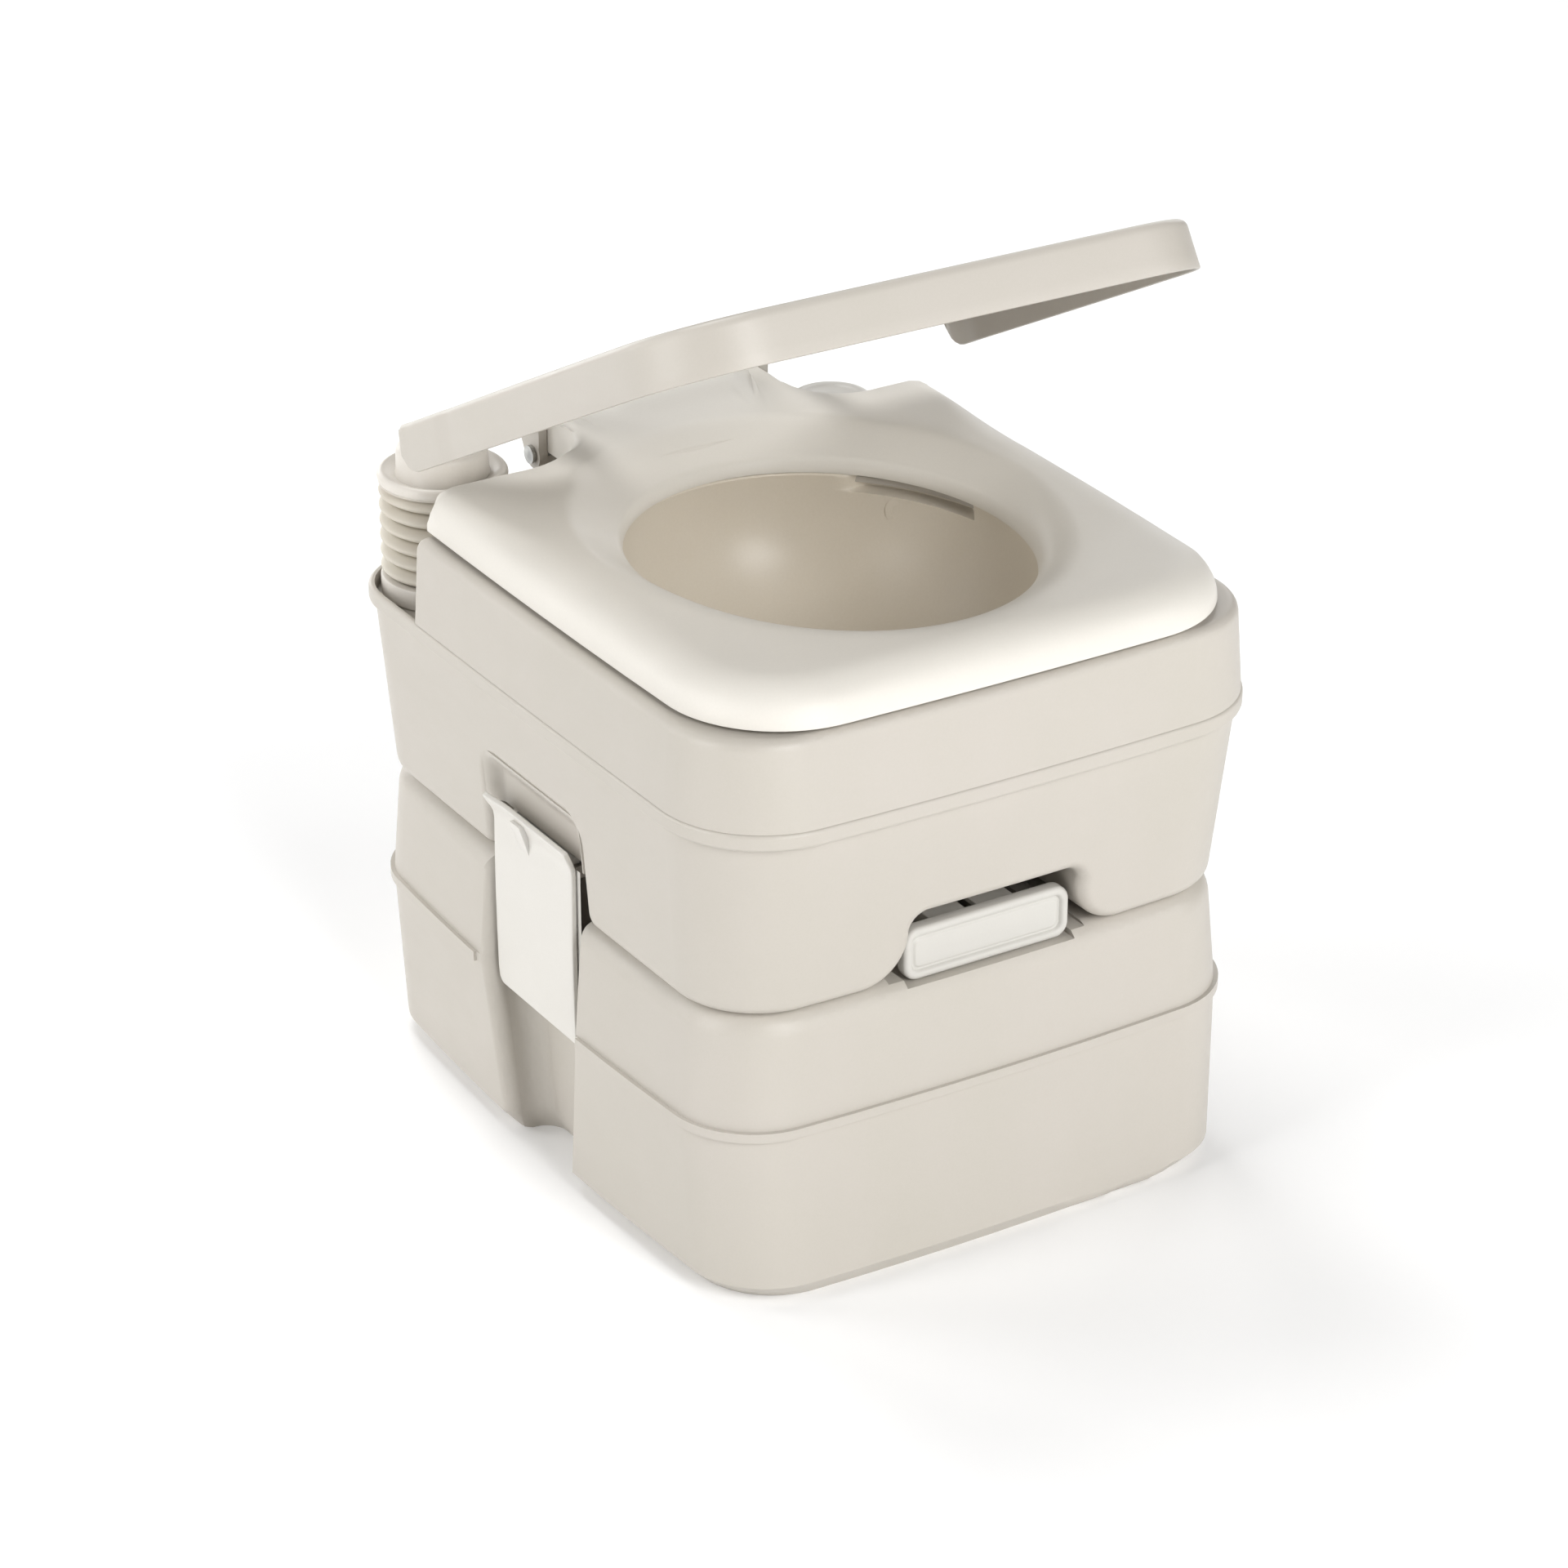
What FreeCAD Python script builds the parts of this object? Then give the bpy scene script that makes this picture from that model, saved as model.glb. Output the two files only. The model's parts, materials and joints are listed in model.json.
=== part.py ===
import FreeCAD, Part
import math
import os
import re
import Sketcher
from FreeCAD import Placement, Rotation, Vector

# Portable toilet: a waste tank, a fresh-water tank latched on top of it, a slide valve
# between the two, and a bowl, seat, lid, bellows flush pump and fill cap above.
# Millimetres. The front, with the valve handle, faces -Y. The origin is on the floor.

doc = FreeCAD.newDocument("PortableToilet")
sheet = doc.addObject("Spreadsheet::Sheet", "Sizes")

X_AXIS = Vector(1, 0, 0)
Y_AXIS = Vector(0, 1, 0)
Z_AXIS = Vector(0, 0, 1)

SIZES = [
    # Fits
    ("running_fit", 0.06, "radial clearance of a pin in a moving bore"),
    ("press_gap", 0.02, "radial gap of a pin in its fixed bore"),
    ("slide_gap", 0.15, "gap of a sliding face"),
    ("loose_gap", 0.4, "gap between curved faces that pass each other"),
    # Waste tank
    ("waste_height", 160.0, "top of the waste tank"),
    ("waste_wall", 3.5, "waste tank wall"),
    ("waste_bevel", 11.0, "height of the bevel at the floor"),
    ("waste_seam", 97.0, "height of the parting bead"),
    ("waste_bead", 2.0, "how far the parting bead stands out"),
    ("waste_bead_height", 5.0, "height of the parting bead"),
    ("waste_shoulder", 13.0, "radius of the top edge"),
    ("floor_half_width", 155.5, "half width at the floor"),
    ("floor_front", 190.5, "front edge at the floor"),
    ("floor_back", 189.0, "back edge at the floor"),
    ("bevel_half_width", 159.0, "half width above the bevel"),
    ("bevel_front", 193.0, "front above the bevel"),
    ("bevel_back", 192.0, "back above the bevel"),
    ("seam_half_width", 163.0, "half width at the parting bead"),
    ("seam_front", 188.5, "front at the parting bead"),
    ("seam_back", 194.0, "back at the parting bead"),
    ("waste_top_half_width", 158.0, "half width at the top"),
    ("waste_top_front", 185.0, "front at the top"),
    ("waste_top_back", 192.0, "back at the top"),
    ("waste_corner", 46.0, "plan corner radius"),
    ("waste_side_bow", 9.0, "bow of the sides"),
    ("waste_end_bow", 6.0, "bow of the front and back"),
    # Latch channel in the waste tank
    ("channel_depth_x", 137.0, "channel floor, from the middle plane"),
    ("channel_half", 46.0, "half width of the channel at the bead"),
    ("channel_half_floor", 32.0, "half width of the channel at the floor"),
    ("channel_corner", 14.0, "radius inside the channel"),
    ("channel_back_edge", 9.0, "rounding of the channel's rear edge"),
    ("channel_front_edge", 6.0, "rounding of the channel's front edge"),
    # Valve well on top of the waste tank
    ("well_floor", 155.5, "floor of the valve well"),
    ("well_half", 73.0, "half width of the valve well"),
    ("well_back", 70.0, "back of the valve well"),
    ("well_side", 2.0, "room round the valve and its handle"),
    # Slide valve
    ("valve_y", -20.0, "centre of the valve bore"),
    ("valve_bore", 47.0, "radius of the valve bore"),
    ("valve_plate", 3.0, "thickness of the base plate"),
    ("valve_half", 66.0, "half width of the valve plates"),
    ("valve_front", -92.0, "front of the valve plates"),
    ("valve_back", 52.0, "back of the valve plates"),
    ("valve_corner", 8.0, "corner radius of the valve plates"),
    ("collar_wall", 3.0, "wall of the valve collar"),
    ("collar_drop", 16.0, "collar below the base plate"),
    ("blade_half", 56.0, "half width of the blade"),
    ("blade_front", -76.0, "front of the blade"),
    ("blade_back", 36.0, "back of the blade"),
    ("blade_thick", 3.0, "thickness of the blade"),
    ("guide_plate", 3.6, "thickness of the guide frame's top"),
    ("seal_width", 5.0, "width of the blade seal"),
    ("seal_depth", 2.0, "height of the blade seal"),
    ("gasket_height", 4.6, "height of the bowl gasket"),
    ("gasket_width", 8.0, "width of the bowl gasket"),
    ("screw_head", 3.0, "radius of a valve screw head"),
    ("screw_head_height", 2.0, "height of a valve screw head"),
    ("screw_shank", 1.6, "radius of a valve screw shank"),
    ("screw_inset", 5.0, "valve screws from the plate edge"),
    # Valve handle
    ("handle_half", 47.5, "half width of the handle"),
    ("handle_front", -178.0, "front face of the handle"),
    ("handle_thick", 8.0, "thickness of the handle"),
    ("handle_low", 156.6, "bottom of the handle"),
    ("handle_high", 187.5, "top of the handle"),
    ("handle_corner", 8.0, "corner radius of the handle"),
    ("handle_rim", 5.0, "width of the handle's raised rim"),
    ("handle_dish", 1.4, "depth of the handle's panel"),
    ("handle_edge", 1.8, "rounding of the handle's front edge"),
    ("stem_half", 22.0, "half width of the valve stem"),
    ("stem_rib_half", 2.0, "half width of the stem rib"),
    ("stem_rib_length", 26.0, "length of the stem rib"),
    ("stem_rib_height", 13.0, "height of the stem rib"),
    # Fresh tank tub
    ("tub_wall", 3.2, "fresh tank wall"),
    ("tub_ledge", 256.0, "ledge that carries the cover"),
    ("tub_rim", 266.0, "top of the rolled rim"),
    ("tub_rim_height", 9.0, "height of the rolled rim"),
    ("tub_rim_proud", 2.5, "how far the rolled rim stands out"),
    ("tub_rim_round", 2.2, "rounding of the rolled rim"),
    ("tub_low_half_width", 154.5, "half width at the bottom"),
    ("tub_low_front", 183.5, "front at the bottom"),
    ("tub_low_back", 192.0, "back at the bottom"),
    ("tub_low_corner", 46.0, "plan corner radius at the bottom"),
    ("tub_low_round", 7.0, "rounding of the bottom edge and the openings"),
    ("tub_half_width", 162.5, "half width under the rim"),
    ("tub_front", 197.5, "front under the rim"),
    ("tub_back", 192.5, "back under the rim"),
    ("tub_front_corner", 55.0, "front plan corner radius under the rim"),
    ("tub_back_corner", 40.0, "back plan corner radius under the rim"),
    ("tub_side_bow", 1.5, "bow of the sides"),
    ("tub_end_bow", 4.5, "bow of the front and back"),
    # Openings in the tub
    ("arch_top", 198.0, "top of the handle cut-out"),
    ("arch_half", 49.5, "half width of the cut-out beside the handle"),
    ("arch_corner", 9.0, "corner radius of the cut-out"),
    ("arch_flare", 27.0, "radius where the cut-out turns into the bottom"),
    ("arch_depth", -138.0, "inner end of the cut-out"),
    ("pocket_half", 72.0, "half width of the valve pocket"),
    ("pocket_back", 68.0, "back of the valve pocket"),
    ("recess_x", 142.0, "floor of the latch recess, from the middle plane"),
    ("recess_half", 48.0, "half width of the latch recess"),
    ("recess_top", 217.0, "top of the latch recess"),
    ("recess_corner", 12.0, "corner radius of the latch recess"),
    ("recess_flare", 9.0, "radius where the latch recess turns into the bottom"),
    ("scoop_x", 132.0, "floor of the finger scoop, from the middle plane"),
    ("scoop_half", 37.0, "half width of the finger scoop"),
    ("scoop_top", 206.0, "top of the finger scoop"),
    ("ledge_half", 32.0, "half width of the latch ledge"),
    ("ledge_low", 177.0, "bottom of the latch ledge"),
    ("ledge_high", 184.0, "top of the latch ledge"),
    ("ledge_x", 150.5, "outer face of the latch ledge, from the middle plane"),
    # Tank cover
    ("cover_wall", 3.2, "cover wall"),
    ("cover_inset", 0.9, "cover inside the rim's outer face"),
    ("cover_top", 312.0, "top of the cover"),
    ("cover_half_width", 161.0, "half width at the top"),
    ("cover_front", 193.5, "front at the top"),
    ("cover_back", 189.0, "back at the top"),
    ("cover_corner", 50.0, "front plan corner radius at the top"),
    ("cover_back_corner", 36.0, "back plan corner radius at the top"),
    ("cover_round", 6.0, "rounding of the top edge"),
    ("deck_height", 258.5, "top of the deck at the rear corners"),
    ("deck_front", 111.0, "front of the rear corner decks"),
    ("deck_left_x", -48.0, "inner side of the pump deck"),
    ("deck_right_x", 79.0, "inner side of the filler deck"),
    ("deck_corner", 28.0, "plan corner radius of the decks"),
    ("deck_round", 3.0, "rounding of the edges over the decks"),
    ("saddle_height", 300.0, "top of the cover behind the seat"),
    ("saddle_front", 160.0, "front of the lowered saddle"),
    # Bowl
    ("bowl_y", -28.0, "centre of the bowl's mouth"),
    ("bowl_half_width", 105.0, "half width of the mouth"),
    ("bowl_half_depth", 117.0, "half depth of the mouth"),
    ("bowl_flange", 10.0, "width of the bowl flange"),
    ("bowl_mouth_gap", 2.2, "gap between the bowl and the cover under the flange"),
    ("bowl_flange_thick", 2.2, "thickness of the bowl flange"),
    ("bowl_wall", 3.0, "bowl wall"),
    ("bowl_mid_height", 250.0, "height of the bowl's middle section"),
    ("bowl_mid_half_width", 85.0, "half width of the middle section"),
    ("bowl_mid_half_depth", 94.0, "half depth of the middle section"),
    ("bowl_throat_height", 196.0, "height where the outlet turns straight"),
    # Flush
    ("flush_angle", 38.0, "direction of the nozzle in plan"),
    ("flush_height", 296.0, "height of the nozzle"),
    ("flush_reach", 112.0, "nozzle mouth from the bowl's middle line"),
    ("nozzle_radius", 8.0, "radius of the nozzle"),
    ("nozzle_bore", 4.4, "bore of the nozzle and the hose"),
    ("nozzle_length", 13.0, "length of the nozzle"),
    ("hose_radius", 6.0, "radius of the flush hose"),
    ("nozzle_tail", 12.0, "nozzle behind its mouth's reach"),
    ("hose_run", 24.0, "straight run of the hose into the nozzle"),
    ("hose_drop", 36.0, "straight drop of the hose under the pump"),
    ("hose_low", 216.0, "lowest point of the hose"),
    ("hose_back", 135.0, "hose behind the bowl"),
    ("hose_side", 40.0, "half length of the run behind the bowl"),
    ("hose_rise", 20.0, "rise of the run behind the bowl"),
    # Pump
    ("pump_x", -118.5, "pump axis"),
    ("pump_y", 155.0, "pump axis"),
    ("pump_radius", 34.0, "radius of the pump"),
    ("collar_top", 270.0, "top of the pump collar"),
    ("collar_floor", 3.0, "floor of the pump collar"),
    ("collar_thick", 7.0, "wall of the pump collar"),
    ("bellows_top", 323.0, "top of the bellows"),
    ("bellows_ribs", 6.0, "number of bellows ribs"),
    ("bellows_valley", 28.5, "radius between two ribs"),
    ("bellows_wall", 1.8, "bellows wall"),
    ("pump_flange", 7.0, "height of the pump cap's flange"),
    ("pump_dish", 3.0, "depth of the dish in the pump cap"),
    ("pump_knob", 24.0, "radius of the pump cap's knob"),
    ("pump_top", 343.0, "top of the pump cap"),
    ("pump_lip", 4.5, "width of the pump cap's lip"),
    ("pump_edge", 2.0, "rounding of the pump cap"),
    ("intake_radius", 7.7, "radius of the intake tube"),
    ("intake_wall", 2.0, "wall of the intake tube"),
    ("intake_low", 178.0, "bottom of the intake tube"),
    ("flap_radius", 12.0, "radius of the check flap"),
    ("flap_thick", 1.5, "thickness of the check flap"),
    ("hose_offset_x", 19.0, "hose outlet from the pump axis"),
    ("hose_offset_y", -6.0, "hose outlet from the pump axis"),
    # Filler
    ("fill_x", 119.0, "filler axis"),
    ("fill_y", 158.0, "filler axis"),
    ("neck_radius", 18.0, "radius of the filler neck"),
    ("neck_bore", 15.0, "bore of the filler neck"),
    ("neck_top", 306.0, "top of the filler neck"),
    ("neck_flange", 25.0, "radius of the filler flange"),
    ("neck_flange_thick", 2.5, "thickness of the filler flange"),
    ("cap_seal", 2.0, "thickness of a cap seal"),
    ("fill_cap_radius", 22.5, "radius of the fill cap"),
    ("fill_cap_top", 312.0, "top of the fill cap"),
    ("fill_cap_low", 292.0, "bottom of the fill cap"),
    ("fill_cap_edge", 1.5, "rounding of the fill cap"),
    # Waste spout
    ("spout_x", -62.0, "spout axis"),
    ("spout_z", 98.0, "spout axis"),
    ("spout_radius", 26.0, "radius of the spout neck"),
    ("spout_bore", 22.0, "bore of the spout neck"),
    ("spout_floor", 160.0, "floor of the spout recess"),
    ("spout_end", 182.0, "end of the spout neck"),
    ("spout_flange", 36.0, "radius of the spout flange"),
    ("spout_flange_thick", 3.0, "thickness of the spout flange"),
    ("spout_cap_radius", 31.0, "radius of the spout cap"),
    ("spout_cap_top", 4.0, "thickness of the spout cap's end"),
    ("spout_cap_gap", 3.0, "gap from the flange to the cap"),
    ("spout_recess_radius", 45.0, "radius of the spout recess"),
    # Hinge
    ("hinge_y", 178.0, "hinge axis"),
    ("hinge_z", 312.0, "hinge axis"),
    ("hinge_boss", 8.0, "radius of the hinge bosses"),
    ("hinge_pin", 3.0, "radius of the hinge pins"),
    ("hinge_head", 5.0, "radius of a hinge pin head"),
    ("hinge_head_thick", 2.0, "thickness of a hinge pin head"),
    ("hinge_gap", 0.4, "side gap between the hinge knuckles"),
    ("lug_thick", 5.0, "thickness of a lid lug"),
    ("knuckle_thick", 10.0, "width of a seat knuckle"),
    ("post_thick", 12.0, "width of a hinge post"),
    # Seat
    ("seat_low", 314.3, "bottom edge of the seat"),
    ("seat_top", 336.0, "top of the seat"),
    ("seat_half_width", 154.6, "half width of the seat"),
    ("seat_front", 192.8, "front of the seat"),
    ("seat_tab", 176.0, "back of the seat's hinge tab"),
    ("seat_corner", 62.0, "front plan corner radius"),
    ("seat_edge", 24.0, "width of the seat's rounded outer edge"),
    ("seat_rear", 112.0, "back edge at the rear corners"),
    ("seat_left_x", -50.0, "left side of the hinge tab"),
    ("seat_right_x", 81.0, "right side of the hinge tab"),
    ("seat_left_round", 46.0, "scallop beside the pump"),
    ("seat_right_round", 34.0, "scallop beside the filler"),
    ("seat_wall", 4.0, "seat wall"),
    ("seat_edge_wall", 6.0, "wall at the seat's lower edge"),
    ("seat_roof", 6.0, "thickness of the seat's top"),
    ("seat_roof_inset", 26.0, "inset of the hollow under the seat's top"),
    ("seat_hole_half_width", 100.0, "half width of the opening"),
    ("seat_hole_half_depth", 115.0, "half depth of the opening"),
    ("seat_hole_y", -26.0, "centre of the opening"),
    ("seat_hole_drop", 20.0, "height of the rolled funnel round the opening"),
    ("crest_half_width", 124.0, "half width of the funnel at its crest"),
    ("crest_half_depth", 147.0, "half depth of the funnel at its crest"),
    ("crest_y", -22.0, "centre of the funnel's crest"),
    ("seat_notch", 164.0, "front of the notch between the knuckles"),
    ("buffer_radius", 6.0, "radius of a buffer"),
    ("buffer_boss", 9.0, "radius of the seat boss over a buffer"),
    ("buffer_x", 130.0, "seat buffers from the middle plane"),
    ("buffer_front", -95.0, "front seat buffers"),
    ("buffer_back", 62.0, "rear seat buffers"),
    # Lid
    ("lid_angle", 27.5, "opening of the lid as shown"),
    ("lid_low", 315.5, "bottom of the closed lid's rim"),
    ("lid_under", 338.0, "underside of the closed lid"),
    ("lid_top", 341.2, "top of the closed lid"),
    ("lid_half_width", 160.0, "half width at the rim"),
    ("lid_front", 198.5, "front of the closed lid"),
    ("lid_back", 114.0, "back of the closed lid beside the pump"),
    ("lid_short_back", 90.0, "back of the rest of the closed lid"),
    ("lid_step_left", -130.0, "where the lid's back edge starts to step forward"),
    ("lid_step_right", -95.0, "where the step in the lid's back edge ends"),
    ("lid_corner", 56.0, "front plan corner radius"),
    ("lid_back_corner", 8.0, "back plan corner radius"),
    ("lid_draft", 1.5, "how much the rim leans in"),
    ("lid_bow", 3.0, "bow of the lid's sides"),
    ("lid_wall", 3.0, "lid wall"),
    ("lid_round", 4.5, "rounding of the top edge"),
    ("lid_end_round", 15.0, "rounding at the rear ends of the rim"),
    ("lug_strip", 20.0, "width of the strip above a lug"),
    ("lug_strip_back", 172.0, "back of the strip above a lug"),
    ("lug_neck", 160.0, "front of a lug below the strip"),
    ("lid_buffer_x", 112.0, "lid buffers from the middle plane"),
    ("lid_buffer_y", -128.0, "lid buffers"),
    ("lid_buffer_low", 336.4, "bottom of the closed lid's buffers"),
    # Latches
    ("latch_half", 42.0, "half width of a latch"),
    ("latch_in", 153.5, "inner face, from the middle plane"),
    ("latch_out", 157.0, "outer face, from the middle plane"),
    ("latch_low", 87.0, "bottom of a latch"),
    ("latch_bend", 186.0, "where the lip starts to flare"),
    ("latch_high", 196.5, "top of the lip"),
    ("latch_flare", 6.0, "how far the lip flares"),
    ("latch_corner", 6.0, "corner radius of a latch"),
    ("latch_hook_half", 30.0, "half width of the hook"),
    ("latch_hook_x", 147.0, "tip of the hook, from the middle plane"),
    ("latch_hook_low", 184.5, "bottom of the hook"),
    ("latch_hook_high", 188.0, "top of the hook"),
    ("latch_pivot_x", 147.8, "latch pin, from the middle plane"),
    ("latch_pivot_z", 96.0, "latch pin"),
    ("latch_pin", 2.5, "radius of a latch pin"),
    ("latch_knuckle", 5.0, "radius of the latch knuckles"),
    ("latch_knuckle_half", 26.0, "half length of the latch knuckle"),
    ("lug_length", 9.0, "length of a latch lug on the tank"),
]

for row, (alias, value, note) in enumerate(SIZES, 1):
    sheet.set(f"A{row}", note)
    sheet.set(f"B{row}", str(value))
    sheet.setAlias(f"B{row}", alias)
doc.recompute()

ALIASES = {alias for alias, value, note in SIZES}
WORD = re.compile(r"[A-Za-z_]\w*")
pieces = []


class Dimensions:
    """The sheet's sizes as attributes."""

    def __getattr__(self, alias):
        return float(sheet.get(alias))


dim = Dimensions()


def formula(text):
    """An expression in sheet aliases, with the sheet's name put before each."""
    return WORD.sub(lambda word: "Sizes." + word[0] if word[0] in ALIASES else word[0], text)


def number(text):
    """The present value of such an expression."""
    return float(sheet.evalExpression(formula(text)))


def keep(piece):
    """Marks a finished sub-part."""
    pieces.append(piece)
    return piece


def solid(label, shape, placement=None):
    """A sub-part whose moulded form is computed from the sheet."""
    piece = doc.addObject("Part::Feature", label)
    piece.Label = label
    piece.Shape = shape
    if placement:
        piece.Placement = placement
    return keep(piece)


# Primitives and booleans bound to the sheet


def place(piece, x, y, z):
    for axis, text in zip("xyz", (x, y, z)):
        piece.setExpression(f"Placement.Base.{axis}", formula(text))


def cylinder(name, radius, height, x, y, z, axis=Z_AXIS):
    piece = doc.addObject("Part::Cylinder", name)
    piece.setExpression("Radius", formula(radius))
    piece.setExpression("Height", formula(height))
    piece.Placement = Placement(Vector(), Rotation(Z_AXIS, axis))
    place(piece, x, y, z)
    return piece


def cut(label, base, *tools):
    tool = tools[0] if len(tools) == 1 else fuse(label + "_tools", *tools)
    piece = doc.addObject("Part::Cut", label)
    piece.Base = base
    piece.Tool = tool
    return piece


def fuse(label, *parts):
    piece = doc.addObject("Part::MultiFuse", label)
    piece.Shapes = list(parts)
    return piece


def group(label, parts):
    """Separate solids that share one node."""
    piece = doc.addObject("Part::Compound", label)
    piece.Links = list(parts)
    return keep(piece)


def ring(label, outer, inner, height, x, y, z, axis=Z_AXIS):
    body = cylinder(label + "_outer", outer, height, x, y, z, axis)
    bore = cylinder(label + "_bore", inner, height, x, y, z, axis)
    return cut(label, body, bore)


# Sketched bodies bound to the sheet


def new_body(label):
    body = doc.addObject("PartDesign::Body", label)
    body.Label = label
    return body


def sketch_on(body, name, role, offset="0"):
    sketch = body.newObject("Sketcher::SketchObject", name)
    plane = next(item for item in body.Origin.OriginFeatures if item.Role == role)
    sketch.AttachmentSupport = [(plane, "")]
    sketch.MapMode = "FlatFace"
    sketch.setExpression("AttachmentOffset.Base.z", formula(offset))
    return sketch


def fix_point(sketch, geometry, point, x, y):
    """Ties one point of a sketch to two expressions."""
    for kind, text in (("DistanceX", x), ("DistanceY", y)):
        index = sketch.addConstraint(
            Sketcher.Constraint(kind, -1, 1, geometry, point, number(text)))
        sketch.setExpression(f"Constraints[{index}]", formula(text))


def polygon(sketch, corners):
    points = [Vector(number(x), number(y), 0) for x, y in corners]
    lines = []
    for start, end in zip(points, points[1:] + points[:1]):
        lines.append(sketch.addGeometry(Part.LineSegment(start, end), False))
    for line, following in zip(lines, lines[1:] + lines[:1]):
        sketch.addConstraint(Sketcher.Constraint("Coincident", line, 2, following, 1))
    for line, (x, y) in zip(lines, corners):
        fix_point(sketch, line, 1, x, y)


def rectangle(sketch, x_low, x_high, y_low, y_high):
    polygon(sketch, [(x_low, y_low), (x_high, y_low), (x_high, y_high), (x_low, y_high)])


def circle(sketch, radius, x, y):
    centre = Vector(number(x), number(y), 0)
    index = sketch.addGeometry(Part.Circle(centre, Z_AXIS, number(radius)), False)
    constraint = sketch.addConstraint(Sketcher.Constraint("Radius", index, number(radius)))
    sketch.setExpression(f"Constraints[{constraint}]", formula(radius))
    fix_point(sketch, index, 3, x, y)


def pad(body, sketch, length, midplane=False, reverse=False):
    feature = body.newObject("PartDesign::Pad", sketch.Name + "_pad")
    feature.Profile = sketch
    feature.setExpression("Length", formula(length))
    feature.Midplane = midplane
    feature.Reversed = reverse
    doc.recompute()
    return feature


def pocket(body, sketch, length, midplane=False, reverse=False):
    volume = body.Shape.Volume
    feature = body.newObject("PartDesign::Pocket", sketch.Name + "_pocket")
    feature.Profile = sketch
    feature.setExpression("Length", formula(length))
    feature.Midplane = midplane
    feature.Reversed = reverse
    doc.recompute()
    if body.Shape.Volume >= volume:
        raise RuntimeError(f"{feature.Name} cuts nothing")
    return feature


def revolve(body, sketch, x, y):
    """Turns a half section, drawn from radius 0 on the XZ plane, about the vertical."""
    feature = body.newObject("PartDesign::Revolution", sketch.Name + "_turned")
    feature.Profile = sketch
    feature.ReferenceAxis = (sketch, ["V_Axis"])
    feature.Angle = 360
    place(body, x, y, "0")
    doc.recompute()
    return feature


def round_edges(body, feature, name, radius, chosen):
    """Fillets the edges of a body's feature that a test picks out."""
    names = [f"Edge{i}" for i, edge in enumerate(feature.Shape.Edges, 1) if chosen(edge)]
    fillet = body.newObject("PartDesign::Fillet", name)
    fillet.Base = (feature, names)
    fillet.setExpression("Radius", formula(radius))
    doc.recompute()
    return fillet


def along(axis):
    """A test for straight edges that run along an axis."""
    def chosen(edge):
        first, last = edge.Vertexes[0].Point, edge.Vertexes[-1].Point
        run = last - first
        return run.Length > 0 and abs(abs(run.normalize().dot(axis)) - 1) < 1e-6
    return chosen


# Moulded forms: bowed plans, lofts and roundings


def bow_radius(half_chord, bow):
    return (half_chord ** 2 + bow ** 2) / (2 * bow)


def tangent_corner(side_centre, side_radius, end_centre, end_radius, radius, toward):
    """The arc of a plan corner between a bowed side and a bowed end, on the +X side."""
    reach_side = side_radius - radius
    reach_end = end_radius - radius
    between = end_centre - side_centre
    along_line = (reach_side ** 2 - reach_end ** 2 + between.Length ** 2) / (2 * between.Length)
    across = math.sqrt(reach_side ** 2 - along_line ** 2)
    direction = Vector(between).normalize()
    normal = Vector(-direction.y, direction.x, 0)
    base = side_centre + direction * along_line
    centre = max((base + normal * across, base - normal * across),
                 key=lambda point: point.x + toward * point.y)
    on_side = centre + (centre - side_centre).normalize() * radius
    on_end = centre + (centre - end_centre).normalize() * radius
    middle = centre + (on_side + on_end - centre * 2).normalize() * radius
    return on_side, middle, on_end


class Plan:
    """A rounded rectangle with gently bowed sides, seen from above."""

    def __init__(self, half_width, front, back, front_corner, back_corner, side_bow, end_bow):
        self.half_width = half_width
        self.front = front
        self.back = back
        self.front_corner = front_corner
        self.back_corner = back_corner
        self.side_bow = side_bow
        self.end_bow = end_bow

    def grown(self, by):
        return Plan(self.half_width + by, self.front + by, self.back + by,
                    self.front_corner + by, self.back_corner + by, self.side_bow, self.end_bow)

    def wire(self, height):
        side_radius = bow_radius((self.front + self.back) / 2, self.side_bow)
        end_radius = bow_radius(self.half_width, self.end_bow)
        middle = (self.back - self.front) / 2
        side = Vector(self.half_width - side_radius, middle, 0)
        front = Vector(0, end_radius - self.front, 0)
        back = Vector(0, self.back - end_radius, 0)
        front_arc = tangent_corner(side, side_radius, front, end_radius, self.front_corner, -1)
        back_arc = tangent_corner(side, side_radius, back, end_radius, self.back_corner, 1)
        mirrored = [[Vector(-p.x, p.y, 0) for p in arc] for arc in (front_arc, back_arc)]
        left_front, left_back = mirrored
        arcs = [
            (front_arc[0], Vector(self.half_width, middle, 0), back_arc[0]),
            back_arc,
            (back_arc[2], Vector(0, self.back, 0), left_back[2]),
            left_back[::-1],
            (left_back[0], Vector(-self.half_width, middle, 0), left_front[0]),
            left_front,
            (left_front[2], Vector(0, -self.front, 0), front_arc[2]),
            front_arc[::-1],
        ]
        lift = Vector(0, 0, height)
        return Part.Wire([Part.Arc(*[point + lift for point in arc]).toShape() for arc in arcs])


def loft(levels):
    """A solid through plans at heights."""
    return Part.makeLoft([plan.wire(height) for height, plan in levels], True, True)


def block(x_low, x_high, y_low, y_high, z_low, z_high):
    return Part.makeBox(x_high - x_low, y_high - y_low, z_high - z_low, Vector(x_low, y_low, z_low))


def rod(radius, start, length, axis):
    return Part.makeCylinder(radius, length, start, axis)


def level_edges(shape, height):
    return [edge for edge in shape.Edges
            if all(abs(vertex.Z - height) < 1e-4 for vertex in edge.Vertexes)]


def straight_edges(shape, axis):
    return [edge for edge in shape.Edges if along(axis)(edge)]


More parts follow.
